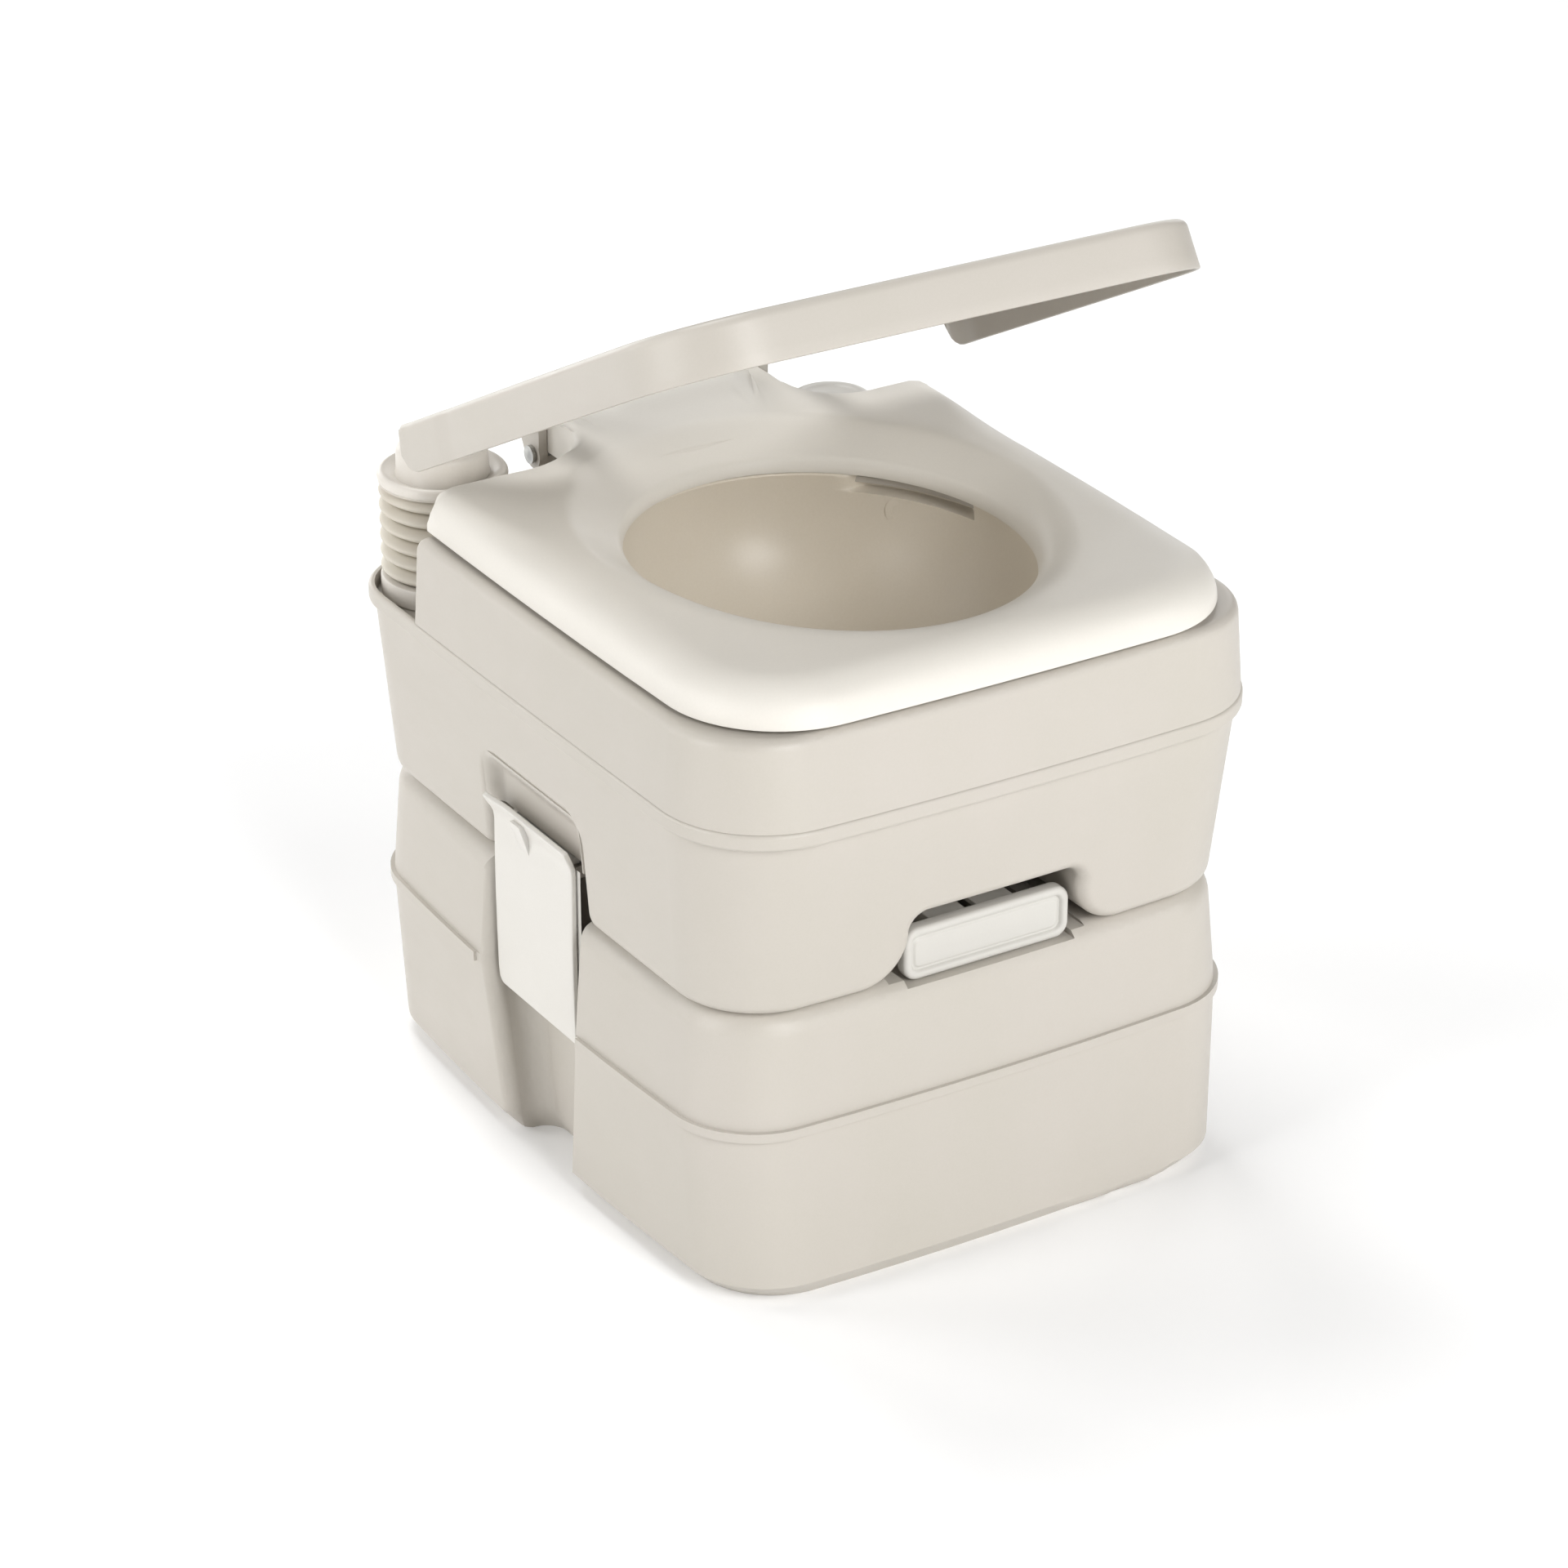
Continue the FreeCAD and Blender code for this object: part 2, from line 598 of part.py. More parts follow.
def sharp_edges(shape, chosen):
    """The edges that a test picks out and where two faces meet at an angle."""
    found = []
    for edge in shape.Edges:
        faces = shape.ancestorsOfType(edge, Part.Face) if chosen(edge) else []
        if len(faces) == 2:
            first, last = edge.ParameterRange
            spot = edge.valueAt((first + last) / 2)
            one, other = [face.normalAt(*face.Surface.parameter(spot)) for face in faces]
            if one.getAngle(other) > math.radians(20):
                found.append(edge)
    return found


def ellipse_wire(half_width, half_depth, y, height):
    centre = Vector(0, y, height)
    long_end = centre + Vector(0, half_depth, 0)
    short_end = centre + Vector(half_width, 0, 0)
    return Part.Wire([Part.Ellipse(long_end, short_end, centre).toShape()])


def circle_wire(radius, x, y, height):
    return Part.Wire([Part.Circle(Vector(x, y, height), Z_AXIS, radius).toShape()])


def prism(points, height_low, height_high):
    """An upright prism over plan points, where a tuple of two points is an arc's middle and end."""
    edges = []
    current = points[0]
    for step in points[1:] + points[:1]:
        if isinstance(step, tuple):
            edges.append(Part.Arc(current, step[0], step[1]).toShape())
            current = step[1]
        else:
            edges.append(Part.LineSegment(current, step).toShape())
            current = step
    face = Part.Face(Part.Wire(edges))
    face.translate(Vector(0, 0, height_low))
    return face.extrude(Vector(0, 0, height_high - height_low))


def both_sides(shape):
    """A form and its mirror image in the middle plane."""
    return shape.fuse(shape.mirror(Vector(), X_AXIS))


MARGIN = 40.0  # how far cutting forms reach past what they cut


# Waste tank


def waste_plans():
    corner, side, end = dim.waste_corner, dim.waste_side_bow, dim.waste_end_bow

    def plan(half_width, front, back):
        return Plan(half_width, front, back, corner, corner, side, end)

    floor = plan(dim.floor_half_width, dim.floor_front, dim.floor_back)
    bevel = plan(dim.bevel_half_width, dim.bevel_front, dim.bevel_back)
    seam = plan(dim.seam_half_width, dim.seam_front, dim.seam_back)
    top = plan(dim.waste_top_half_width, dim.waste_top_front, dim.waste_top_back)
    return floor, bevel, seam, top


def channel(extra):
    """The latch channel on the +X side, grown by a wall where it bounds the tank's inside."""
    outside = dim.seam_half_width + MARGIN
    depth = dim.channel_depth_x - extra
    corner = dim.channel_corner
    slant = corner * (1 - math.sqrt(0.5))
    levels = ((-1.0, dim.channel_half_floor, dim.floor_half_width),
              (dim.waste_bevel, dim.channel_half_floor, dim.bevel_half_width),
              (dim.waste_seam, dim.channel_half, dim.seam_half_width),
              (dim.waste_height + 1.0, dim.channel_half, dim.waste_top_half_width))
    sections = []
    for height, half, wall_x in levels:
        half = half + extra
        edges = channel_edge(outside, wall_x, depth + corner, half, dim.channel_back_edge, extra, height)
        edges.append(Part.Arc(Vector(depth + corner, half, height),
                              Vector(depth + slant, half - slant, height),
                              Vector(depth, half - corner, height)))
        edges.append(Part.LineSegment(Vector(depth, half - corner, height),
                                      Vector(depth, corner - half, height)))
        edges.append(Part.Arc(Vector(depth, corner - half, height),
                              Vector(depth + slant, slant - half, height),
                              Vector(depth + corner, -half, height)))
        front = channel_edge(outside, wall_x, depth + corner, -half, dim.channel_front_edge, extra, height)
        edges += reversed(front)
        shapes = [edge.toShape() for edge in edges]
        back_end = shapes[0].Vertexes[0].Point
        front_end = shapes[-1].Vertexes[0].Point
        shapes.append(Part.LineSegment(front_end, back_end).toShape())
        sections.append(Part.Wire(Part.sortEdges(shapes)[0]))
    return Part.makeLoft(sections, True, True)


def channel_edge(outside, wall_x, inside, half, rounding, extra, height):
    """From outside the tank, round its edge and along one wall of the channel."""
    side = math.copysign(1, half)
    radius = rounding - extra
    start_x = wall_x - extra
    far = half + side * radius
    bend = radius * math.sqrt(0.5)
    return [
        Part.LineSegment(Vector(outside, far, height), Vector(start_x, far, height)),
        Part.Arc(Vector(start_x, far, height),
                 Vector(start_x - radius + bend, far - side * bend, height),
                 Vector(start_x - radius, half, height)),
        Part.LineSegment(Vector(start_x - radius, half, height), Vector(inside, half, height)),
    ]


def valve_well(extra):
    low, high = dim.well_floor - extra, dim.waste_height + MARGIN
    half = dim.well_half + extra
    under_handle = dim.handle_half + dim.well_side + extra
    beside_blade = dim.blade_half + dim.well_side + extra
    front, far = dim.valve_front - dim.well_side, -dim.bevel_front - MARGIN
    main = block(-half, half, front - extra, dim.well_back + extra, low, high)
    handle_room = block(-under_handle, under_handle, far, front, low, high)
    blade_room = block(-beside_blade, beside_blade, far, front, low + dim.valve_plate, high)
    return main.fuse([handle_room, blade_room])


def spout_recess(extra):
    start = Vector(dim.spout_x, dim.spout_floor - extra, dim.spout_z)
    return rod(dim.spout_recess_radius + extra, start, MARGIN * 2, Y_AXIS)


def latch_lugs():
    """Lugs on the channel floor of the +X side that hold the latch pin."""
    shapes = []
    start = dim.latch_knuckle_half + dim.hinge_gap
    for side in (1, -1):
        y_low = start if side > 0 else -start - dim.lug_length
        barrel = rod(dim.latch_knuckle, Vector(dim.latch_pivot_x, y_low, dim.latch_pivot_z),
                     dim.lug_length, Y_AXIS)
        web = block(dim.channel_depth_x - dim.waste_wall / 2, dim.latch_pivot_x,
                    y_low, y_low + dim.lug_length,
                    dim.latch_pivot_z - dim.latch_knuckle, dim.latch_pivot_z + dim.latch_knuckle)
        shapes.append(barrel.fuse(web))
    return shapes[0].fuse(shapes[1])


def waste_tank():
    floor, bevel, seam, top = waste_plans()
    outer = loft([(0, floor), (dim.waste_bevel, bevel), (dim.waste_seam, seam),
                  (dim.waste_height, top)])
    outer = outer.makeFillet(dim.waste_shoulder, level_edges(outer, dim.waste_height))
    half_bead = dim.waste_bead_height / 2
    bead = loft([(dim.waste_seam - half_bead, seam.grown(dim.waste_bead)),
                 (dim.waste_seam + half_bead, seam.grown(dim.waste_bead))])
    wall = dim.waste_wall
    inner = loft([(wall, floor.grown(-wall)), (dim.waste_bevel, bevel.grown(-wall)),
                  (dim.waste_seam, seam.grown(-wall)),
                  (dim.waste_height - wall, top.grown(-wall - dim.waste_shoulder / 4))])
    inner = inner.cut([both_sides(channel(wall)), valve_well(wall), spout_recess(wall)])
    collar = dim.valve_bore + dim.collar_wall + dim.loose_gap
    mouth = rod(collar, Vector(0, dim.valve_y, dim.waste_height - MARGIN), MARGIN * 2, Z_AXIS)
    spout = rod(dim.spout_radius + dim.press_gap,
                Vector(dim.spout_x, dim.spout_floor - MARGIN, dim.spout_z), MARGIN, Y_AXIS)
    pin = rod(dim.latch_pin + dim.press_gap,
              Vector(dim.latch_pivot_x, -dim.latch_half, dim.latch_pivot_z),
              dim.latch_half * 2, Y_AXIS)
    shell = outer.fuse(bead)
    shell = shell.cut([both_sides(channel(0)), valve_well(0), spout_recess(0)])
    shell = shell.cut([inner, mouth, spout])
    shell = shell.fuse(both_sides(latch_lugs())).cut(both_sides(pin))
    return solid("waste_tank", shell.removeSplitter())


# Slide valve


def valve_levels():
    """Heights in the valve stack, as expressions."""
    base_top = "well_floor + valve_plate"
    blade_low = base_top + " + slide_gap"
    blade_high = blade_low + " + blade_thick"
    guide_low = blade_high + " + slide_gap"
    guide_top = guide_low + " + guide_plate"
    return base_top, blade_low, blade_high, guide_low, guide_top


BASE_TOP, BLADE_LOW, BLADE_HIGH, GUIDE_LOW, GUIDE_TOP = valve_levels()


def valve_base():
    body = new_body("valve_base")
    plate = sketch_on(body, "base_plan", "XY_Plane", "well_floor")
    rectangle(plate, "-valve_half", "valve_half", "valve_front", "valve_back")
    plate_pad = pad(body, plate, "valve_plate")
    round_edges(body, plate_pad, "base_corners", "valve_corner", along(Z_AXIS))
    collar = sketch_on(body, "collar_plan", "XY_Plane", "well_floor")
    circle(collar, "valve_bore + collar_wall", "0", "valve_y")
    pad(body, collar, "collar_drop", reverse=True)
    bore = sketch_on(body, "base_bore", "XY_Plane", BASE_TOP)
    circle(bore, "valve_bore", "0", "valve_y")
    pocket(body, bore, "valve_plate + collar_drop")
    return keep(body)


def screw_places():
    """The six valve screws, in the plan of the valve."""
    middle = "(valve_front + valve_back) / 2"
    for x in ("valve_half - screw_inset", "screw_inset - valve_half"):
        for y in ("valve_front + 2 * screw_inset", middle, "valve_back - 2 * screw_inset"):
            yield x, y


def valve_guide():
    body = new_body("valve_guide")
    plate = sketch_on(body, "guide_plan", "XY_Plane", BASE_TOP)
    rectangle(plate, "-valve_half", "valve_half", "valve_front", "valve_back")
    plate_pad = pad(body, plate, f"{GUIDE_TOP} - ({BASE_TOP})")
    round_edges(body, plate_pad, "guide_corners", "valve_corner", along(Z_AXIS))
    slot = sketch_on(body, "blade_slot", "XY_Plane", BASE_TOP)
    rectangle(slot, "-blade_half - slide_gap", "blade_half + slide_gap",
              "valve_front - valve_corner", "blade_back + slide_gap")
    pocket(body, slot, f"{GUIDE_LOW} - ({BASE_TOP})", reverse=True)
    bore = sketch_on(body, "guide_bore", "XY_Plane", GUIDE_TOP)
    circle(bore, "valve_bore", "0", "valve_y")
    pocket(body, bore, "guide_plate + blade_thick")
    groove = sketch_on(body, "seal_groove", "XY_Plane", GUIDE_LOW)
    circle(groove, "valve_bore + seal_width", "0", "valve_y")
    pocket(body, groove, "seal_depth", reverse=True)
    holes = sketch_on(body, "screw_holes", "XY_Plane", GUIDE_TOP)
    for x, y in screw_places():
        circle(holes, "screw_shank + press_gap", x, y)
    pocket(body, holes, f"{GUIDE_TOP} - ({BASE_TOP})")
    return keep(body)


def valve_blade():
    body = new_body("valve_blade")
    plan = sketch_on(body, "blade_plan", "XY_Plane", BLADE_LOW)
    rectangle(plan, "-blade_half", "blade_half", "blade_front", "blade_back")
    plan_pad = pad(body, plan, "blade_thick")
    round_edges(body, plan_pad, "blade_corners", "valve_corner / 2", along(Z_AXIS))
    return keep(body)


def valve_handle():
    body = new_body("valve_handle")
    plate = sketch_on(body, "handle_front_view", "XZ_Plane", "-handle_front")
    rectangle(plate, "-handle_half", "handle_half", "handle_low", "handle_high")
    plate_pad = pad(body, plate, "handle_thick", reverse=True)
    corners = round_edges(body, plate_pad, "handle_corners", "handle_corner", along(Y_AXIS))

    def on_front(edge):
        return all(abs(vertex.Y - dim.handle_front) < 1e-4 for vertex in edge.Vertexes)

    round_edges(body, corners, "handle_front_edge", "handle_edge", on_front)
    panel = sketch_on(body, "handle_panel", "XZ_Plane", "-handle_front")
    rectangle(panel, "handle_rim - handle_half", "handle_half - handle_rim",
              "handle_low + handle_rim", "handle_high - handle_rim")
    pocket(body, panel, "handle_dish")
    stem = sketch_on(body, "stem_plan", "XY_Plane", BLADE_LOW)
    rectangle(stem, "-stem_half", "stem_half", "handle_front + handle_thick / 2", "blade_front")
    pad(body, stem, "blade_thick")
    rib = sketch_on(body, "stem_rib_plan", "XY_Plane", BLADE_LOW)
    rectangle(rib, "-stem_rib_half", "stem_rib_half", "handle_front + handle_thick / 2",
              "handle_front + handle_thick + stem_rib_length")
    pad(body, rib, "stem_rib_height")
    return keep(body)


def valve_trim():
    """The blade seal, the bowl gasket and the screws of the valve."""
    keep(ring("valve_seal", "valve_bore + seal_width - press_gap", "valve_bore", "seal_depth",
              "0", "valve_y", GUIDE_LOW))
    keep(ring("bowl_gasket", "valve_bore + gasket_width", "valve_bore", "gasket_height",
              "0", "valve_y", GUIDE_TOP))
    screws = []
    for index, (x, y) in enumerate(screw_places()):
        head = cylinder(f"screw_head_{index}", "screw_head", "screw_head_height", x, y, GUIDE_TOP)
        shank = cylinder(f"screw_shank_{index}", "screw_shank", f"{GUIDE_TOP} - ({BASE_TOP})",
                         x, y, BASE_TOP)
        screws.append(fuse(f"valve_screw_{index}", head, shank))
    group("valve_screws", screws)


# Fresh tank


def tub_plans():
    low = Plan(dim.tub_low_half_width, dim.tub_low_front, dim.tub_low_back, dim.tub_low_corner,
               dim.tub_low_corner, dim.tub_side_bow, dim.tub_end_bow)
    high = Plan(dim.tub_half_width, dim.tub_front, dim.tub_back, dim.tub_front_corner,
                dim.tub_back_corner, dim.tub_side_bow, dim.tub_end_bow)
    return low, high


def opening_outline(half, top, corner, flare):
    """Half the outline of an opening in the tub's lower edge, as across and height, from its top middle.

    It turns down at a corner and spreads at the bottom, and a pair of points is an arc's middle and end.
    """
    slant = 1 - math.sqrt(0.5)
    low = dim.waste_height
    return [
        (0, top), (half - corner, top),
        ((half - corner * slant, top - corner * slant), (half, top - corner)),
        (half, low + flare),
        ((half + flare * slant, low + flare * slant), (half + flare, low)),
        (half + flare, low - MARGIN),
    ]


def opening(half, top, corner, flare, place_point, draw):
    """An opening of that outline, placed on its plane and drawn out along a vector."""
    points = opening_outline(half, top, corner, flare)
    edges = []
    for side in (1, -1):
        current = points[0]
        for step in points[1:]:
            chain = [current, step] if isinstance(step[0], (int, float)) else [current, *step]
            spots = [place_point(side * across, height) for across, height in chain]
            if len(spots) == 2:
                edges.append(Part.LineSegment(*spots).toShape())
            else:
                edges.append(Part.Arc(*spots).toShape())
            current = chain[-1]
    across, height = points[-1]
    edges.append(Part.LineSegment(place_point(across, height), place_point(-across, height)).toShape())
    return Part.Face(Part.Wire(Part.sortEdges(edges)[0])).extrude(draw)


def arch(extra):
    """The cut-out round the handle, from the front to its inner end."""
    front = -dim.tub_front - MARGIN
    return opening(dim.arch_half + extra, dim.arch_top + extra, dim.arch_corner, dim.arch_flare,
                   lambda across, height: Vector(across, front, height),
                   Vector(0, dim.arch_depth + extra - front, 0))


def valve_pocket(extra):
    """The low space in the tub's underside that takes the valve."""
    top = number(GUIDE_TOP) + dim.gasket_height + dim.loose_gap
    return block(-dim.pocket_half - extra, dim.pocket_half + extra, dim.arch_depth - 1,
                 dim.pocket_back + extra, dim.waste_height - MARGIN, top + extra)


def latch_recess(extra):
    """The recess behind the latch on the +X side."""
    outside = dim.tub_half_width + MARGIN
    return opening(dim.recess_half + extra, dim.recess_top + extra, dim.recess_corner, dim.recess_flare,
                   lambda across, height: Vector(outside, across, height),
                   Vector(dim.recess_x - extra - outside, 0, 0))


def finger_scoop(extra):
    """The deeper scoop for the fingers above the latch ledge on the +X side."""
    scoop = block(dim.scoop_x - extra, dim.tub_half_width + MARGIN, -dim.scoop_half - extra,
                  dim.scoop_half + extra, dim.ledge_high - extra, dim.scoop_top + extra)
    scoop_edges = [edge for edge in straight_edges(scoop, X_AXIS)
                   if edge.CenterOfMass.z > dim.scoop_top - 1]
    return scoop.makeFillet(dim.recess_corner, scoop_edges)


def latch_ledge():
    return block(dim.recess_x - dim.tub_wall / 2, dim.ledge_x, -dim.ledge_half, dim.ledge_half,
                 dim.ledge_low, dim.ledge_high)


def tub_outline(form):
    """The edges where the tub's outer faces end, round its bottom and its openings."""
    inset = dim.tub_low_round / 2
    low, high = tub_plans()
    within = loft([(dim.waste_height - 1, low.grown(-inset)), (dim.tub_rim + 1, high.grown(-inset))])

    def outside(edge):
        first, last = edge.ParameterRange
        spots = [edge.valueAt(first + (last - first) * share) for share in (0.1, 0.5, 0.9)]
        return not any(within.isInside(spot, 1e-3, True) for spot in spots)

    def below_rim(edge):
        return all(vertex.Z < dim.tub_rim - 1e-3 for vertex in edge.Vertexes)

    return [edge for edge in form.Edges if below_rim(edge) and outside(edge)]


def fresh_tank_tub():
    low, high = tub_plans()
    wall = dim.tub_wall
    outer = loft([(dim.waste_height, low), (dim.tub_rim, high)])
    outer = outer.cut([arch(0), both_sides(latch_recess(0))])
    outer = outer.makeFillet(dim.tub_low_round, tub_outline(outer))
    rim_plan = high.grown(dim.tub_rim_proud)
    rim = loft([(dim.tub_rim - dim.tub_rim_height, rim_plan), (dim.tub_rim, rim_plan)])
    rim = rim.makeFillet(dim.tub_rim_round, level_edges(rim, dim.tub_rim)
                         + level_edges(rim, dim.tub_rim - dim.tub_rim_height))
    share = (dim.tub_ledge - dim.waste_height) / (dim.tub_rim - dim.waste_height)
    ledge_plan = Plan(*[a + (b - a) * share for a, b in zip(vars(low).values(), vars(high).values())])
    inner = loft([(dim.waste_height + wall, low.grown(-wall)), (dim.tub_ledge, ledge_plan.grown(-wall))])
    inner = inner.cut([arch(wall), valve_pocket(wall), both_sides(latch_recess(wall)),
                       both_sides(finger_scoop(wall))])
    seat_plan = cover_plan_low().grown(dim.loose_gap)
    mouth = loft([(dim.tub_ledge, seat_plan), (dim.tub_rim + MARGIN, seat_plan)])
    outlet = rod(dim.valve_bore + dim.bowl_wall + dim.loose_gap,
                 Vector(0, dim.valve_y, dim.waste_height), MARGIN, Z_AXIS)
    shell = outer.fuse(rim).cut([valve_pocket(0), both_sides(finger_scoop(0))])
    shell = shell.cut([inner, mouth, outlet]).fuse(both_sides(latch_ledge()))
    return solid("fresh_tank_tub", shell.removeSplitter())


def cover_plan_low():
    high = tub_plans()[1]
    return high.grown(dim.tub_rim_proud - dim.tub_wall - dim.loose_gap)


def decks(extra, height):
    """The low corners behind the seat, for the pump on the left and the filler on the right."""
    far = dim.tub_half_width + MARGIN
    back = dim.tub_back + MARGIN
    left = block(-far, dim.deck_left_x + extra, dim.deck_front - extra, back,
                 height, dim.cover_top + MARGIN)
    right = block(dim.deck_right_x - extra, far, dim.deck_front - extra, back,
                  height, dim.cover_top + MARGIN)
    corners = [dim.deck_left_x + extra, dim.deck_right_x - extra]
    rounded = []
    for shape, x in zip((left, right), corners):
        edges = [edge for edge in straight_edges(shape, Z_AXIS)
                 if abs(edge.CenterOfMass.x - x) < 1e-4 and edge.CenterOfMass.y < dim.deck_front + 1]
        rounded.append(shape.makeFillet(dim.deck_corner, edges))
    return rounded[0].fuse(rounded[1])


def saddle(extra):
    """The lowered top behind the seat, under the hinge."""
    far = dim.tub_half_width
    return block(-far, far, dim.saddle_front - extra, dim.tub_back + MARGIN,
                 dim.saddle_height - extra, dim.cover_top + MARGIN)


def hinge_posts():
    """Two posts on the saddle that hold the hinge pins."""
    shapes = []
    for x_low in hinge_post_starts():
        base = block(x_low, x_low + dim.post_thick, dim.hinge_y - dim.hinge_boss,
                     dim.hinge_y + dim.hinge_boss, dim.saddle_height - dim.cover_wall / 2, dim.hinge_z)
        barrel = rod(dim.hinge_boss, Vector(x_low, dim.hinge_y, dim.hinge_z), dim.post_thick, X_AXIS)
        shapes.append(base.fuse(barrel))
    return shapes[0].fuse(shapes[1])


def hinge_post_starts():
    inset = dim.knuckle_thick + dim.hinge_gap
    return dim.seat_left_x + inset, dim.seat_right_x - inset - dim.post_thick


def hinge_pin_hole(radius):
    start = Vector(-dim.tub_half_width, dim.hinge_y, dim.hinge_z)
    return rod(radius, start, dim.tub_half_width * 2, X_AXIS)


def fresh_tank_cover():
    wall = dim.cover_wall
    low = cover_plan_low()
    top = Plan(dim.cover_half_width, dim.cover_front, dim.cover_back, dim.cover_corner,
               dim.cover_back_corner, dim.tub_side_bow, dim.tub_end_bow)
    skirt = tub_plans()[1].grown(dim.tub_rim_proud - dim.cover_inset)
    outer = loft([(dim.tub_rim, skirt), (dim.cover_top, top)])
    outer = outer.makeFillet(dim.cover_round, level_edges(outer, dim.cover_top))
    hollows = [decks(0, dim.deck_height), saddle(0)]
    outer = outer.cut(hollows)

    def over_deck(edge):
        box = edge.BoundBox
        return box.ZMax > dim.saddle_height - 1 and box.YMin > dim.deck_front - 1

    outer = outer.makeFillet(dim.deck_round, sharp_edges(outer, over_deck))
    outer = outer.fuse(loft([(dim.tub_ledge, low), (dim.tub_rim, low)]).cut(hollows))
    inner = loft([(dim.tub_ledge - 1, low.grown(-wall)), (dim.tub_rim, low.grown(-wall)),
                  (dim.cover_top - wall, top.grown(-wall))])
    inner = inner.cut([decks(wall, dim.deck_height - wall), saddle(wall)])
    around = dim.bowl_wall + dim.bowl_mouth_gap
    bowl_mouth = Part.Face(ellipse_wire(dim.bowl_half_width + around, dim.bowl_half_depth + around,
                                        dim.bowl_y, dim.tub_ledge))
    bowl_mouth = bowl_mouth.extrude(Vector(0, 0, MARGIN * 2))
    deck_low = dim.deck_height - MARGIN
    intake = rod(dim.intake_radius + dim.loose_gap, Vector(dim.pump_x, dim.pump_y, deck_low),
                 MARGIN * 2, Z_AXIS)
    hose_x, hose_y = hose_outlet()
    hose = rod(dim.hose_radius + dim.loose_gap, Vector(hose_x, hose_y, deck_low), MARGIN * 2, Z_AXIS)
    neck = rod(dim.neck_radius + dim.press_gap, Vector(dim.fill_x, dim.fill_y, deck_low),
               MARGIN * 2, Z_AXIS)
    shell = outer.cut([inner, bowl_mouth, intake, hose, neck])
    shell = shell.fuse(hinge_posts()).cut(hinge_pin_hole(dim.hinge_pin + dim.press_gap))
    return solid("fresh_tank_cover", shell.removeSplitter())


# Bowl and flush


def bowl_form(extra, low, high):
    """The funnel of the bowl, grown by its wall for the outside."""
    throat = dim.valve_bore + extra
    nearly_round = 1.0001
    sections = [
        ellipse_wire(dim.bowl_half_width + extra, dim.bowl_half_depth + extra, dim.bowl_y, high),
        ellipse_wire(dim.bowl_mid_half_width + extra, dim.bowl_mid_half_depth + extra,
                     (dim.bowl_y + dim.valve_y) / 2, dim.bowl_mid_height),
        ellipse_wire(throat, throat * nearly_round, dim.valve_y, dim.bowl_throat_height),
        ellipse_wire(throat, throat * nearly_round, dim.valve_y, low),
    ]
    return Part.makeLoft(sections, True, False)


def flush_point(reach):
    """A point of the nozzle axis, so far from the bowl's middle line."""
    angle = math.radians(dim.flush_angle)
    return Vector(math.cos(angle) * reach, dim.bowl_y + math.sin(angle) * reach, dim.flush_height)


def flush_direction():
    angle = math.radians(dim.flush_angle)
    return Vector(math.cos(angle), math.sin(angle), 0)


def bowl():
    low = number(GUIDE_TOP) + dim.gasket_height
    high = dim.cover_top + dim.bowl_flange_thick
    outer = bowl_form(dim.bowl_wall, low, high)
    inner = bowl_form(0, low - 0.01, high + 0.01)
    flange = Part.Face(ellipse_wire(dim.bowl_half_width + dim.bowl_flange,
                                    dim.bowl_half_depth + dim.bowl_flange,
                                    dim.bowl_y, dim.cover_top))
    flange = flange.extrude(Vector(0, 0, dim.bowl_flange_thick))
    hole = rod(dim.nozzle_radius + dim.press_gap, flush_point(dim.flush_reach - dim.nozzle_length),
               dim.nozzle_length * 2, flush_direction())
    return solid("bowl", outer.fuse(flange).cut([inner, hole]).removeSplitter())


def hose_outlet():
    return dim.pump_x + dim.hose_offset_x, dim.pump_y + dim.hose_offset_y


def hose_route():
    hose_x, hose_y = hose_outlet()
    return [
        Vector(hose_x, hose_y, dim.deck_height + dim.collar_floor),
        Vector(hose_x, hose_y, dim.deck_height - dim.hose_drop),
        Vector(-dim.hose_side, dim.hose_back, dim.hose_low),
        Vector(dim.hose_side, dim.hose_back, dim.hose_low + dim.hose_rise),
        flush_point(dim.flush_reach + dim.nozzle_tail + dim.hose_run),
        flush_point(dim.flush_reach + dim.nozzle_tail),
    ]


def bent_wire(points):
    """Straight runs joined by tangent arcs, each as large as its runs allow."""
    edges = []
    start = points[0]
    for before, corner, after in zip(points, points[1:], points[2:]):
        arriving = (before - corner).normalize()
        leaving = (after - corner).normalize()
        half_angle = arriving.getAngle(leaving) / 2
        run = 0.45 * min((before - corner).Length, (after - corner).Length)
        radius = run * math.tan(half_angle)
        first = corner + arriving * run
        last = corner + leaving * run
        bisector = (arriving + leaving).normalize()
        middle = corner + bisector * (radius / math.sin(half_angle) - radius)
        edges.append(Part.LineSegment(start, first).toShape())
        edges.append(Part.Arc(first, middle, last).toShape())
        start = last
    edges.append(Part.LineSegment(start, points[-1]).toShape())
    return Part.Wire(edges)


def flush_hose():
    points = hose_route()
    path = bent_wire(points)
    direction = points[1] - points[0]
    sections = []
    for radius in (dim.hose_radius, dim.nozzle_bore):
        section = Part.Wire([Part.Circle(points[0], direction, radius).toShape()])
        sections.append(path.makePipeShell([section], True, False))
    return solid("flush_hose", sections[0].cut(sections[1]))


def flush_nozzle():
    """A short tube through the bowl wall that the flush hose ends on."""
    start = flush_point(dim.flush_reach + dim.nozzle_tail - dim.nozzle_length)
    body = rod(dim.nozzle_radius, start, dim.nozzle_length, flush_direction())
    slot = rod(dim.nozzle_bore, start, dim.nozzle_length, flush_direction())
    return solid("flush_nozzle", body.cut(slot))


# Pump


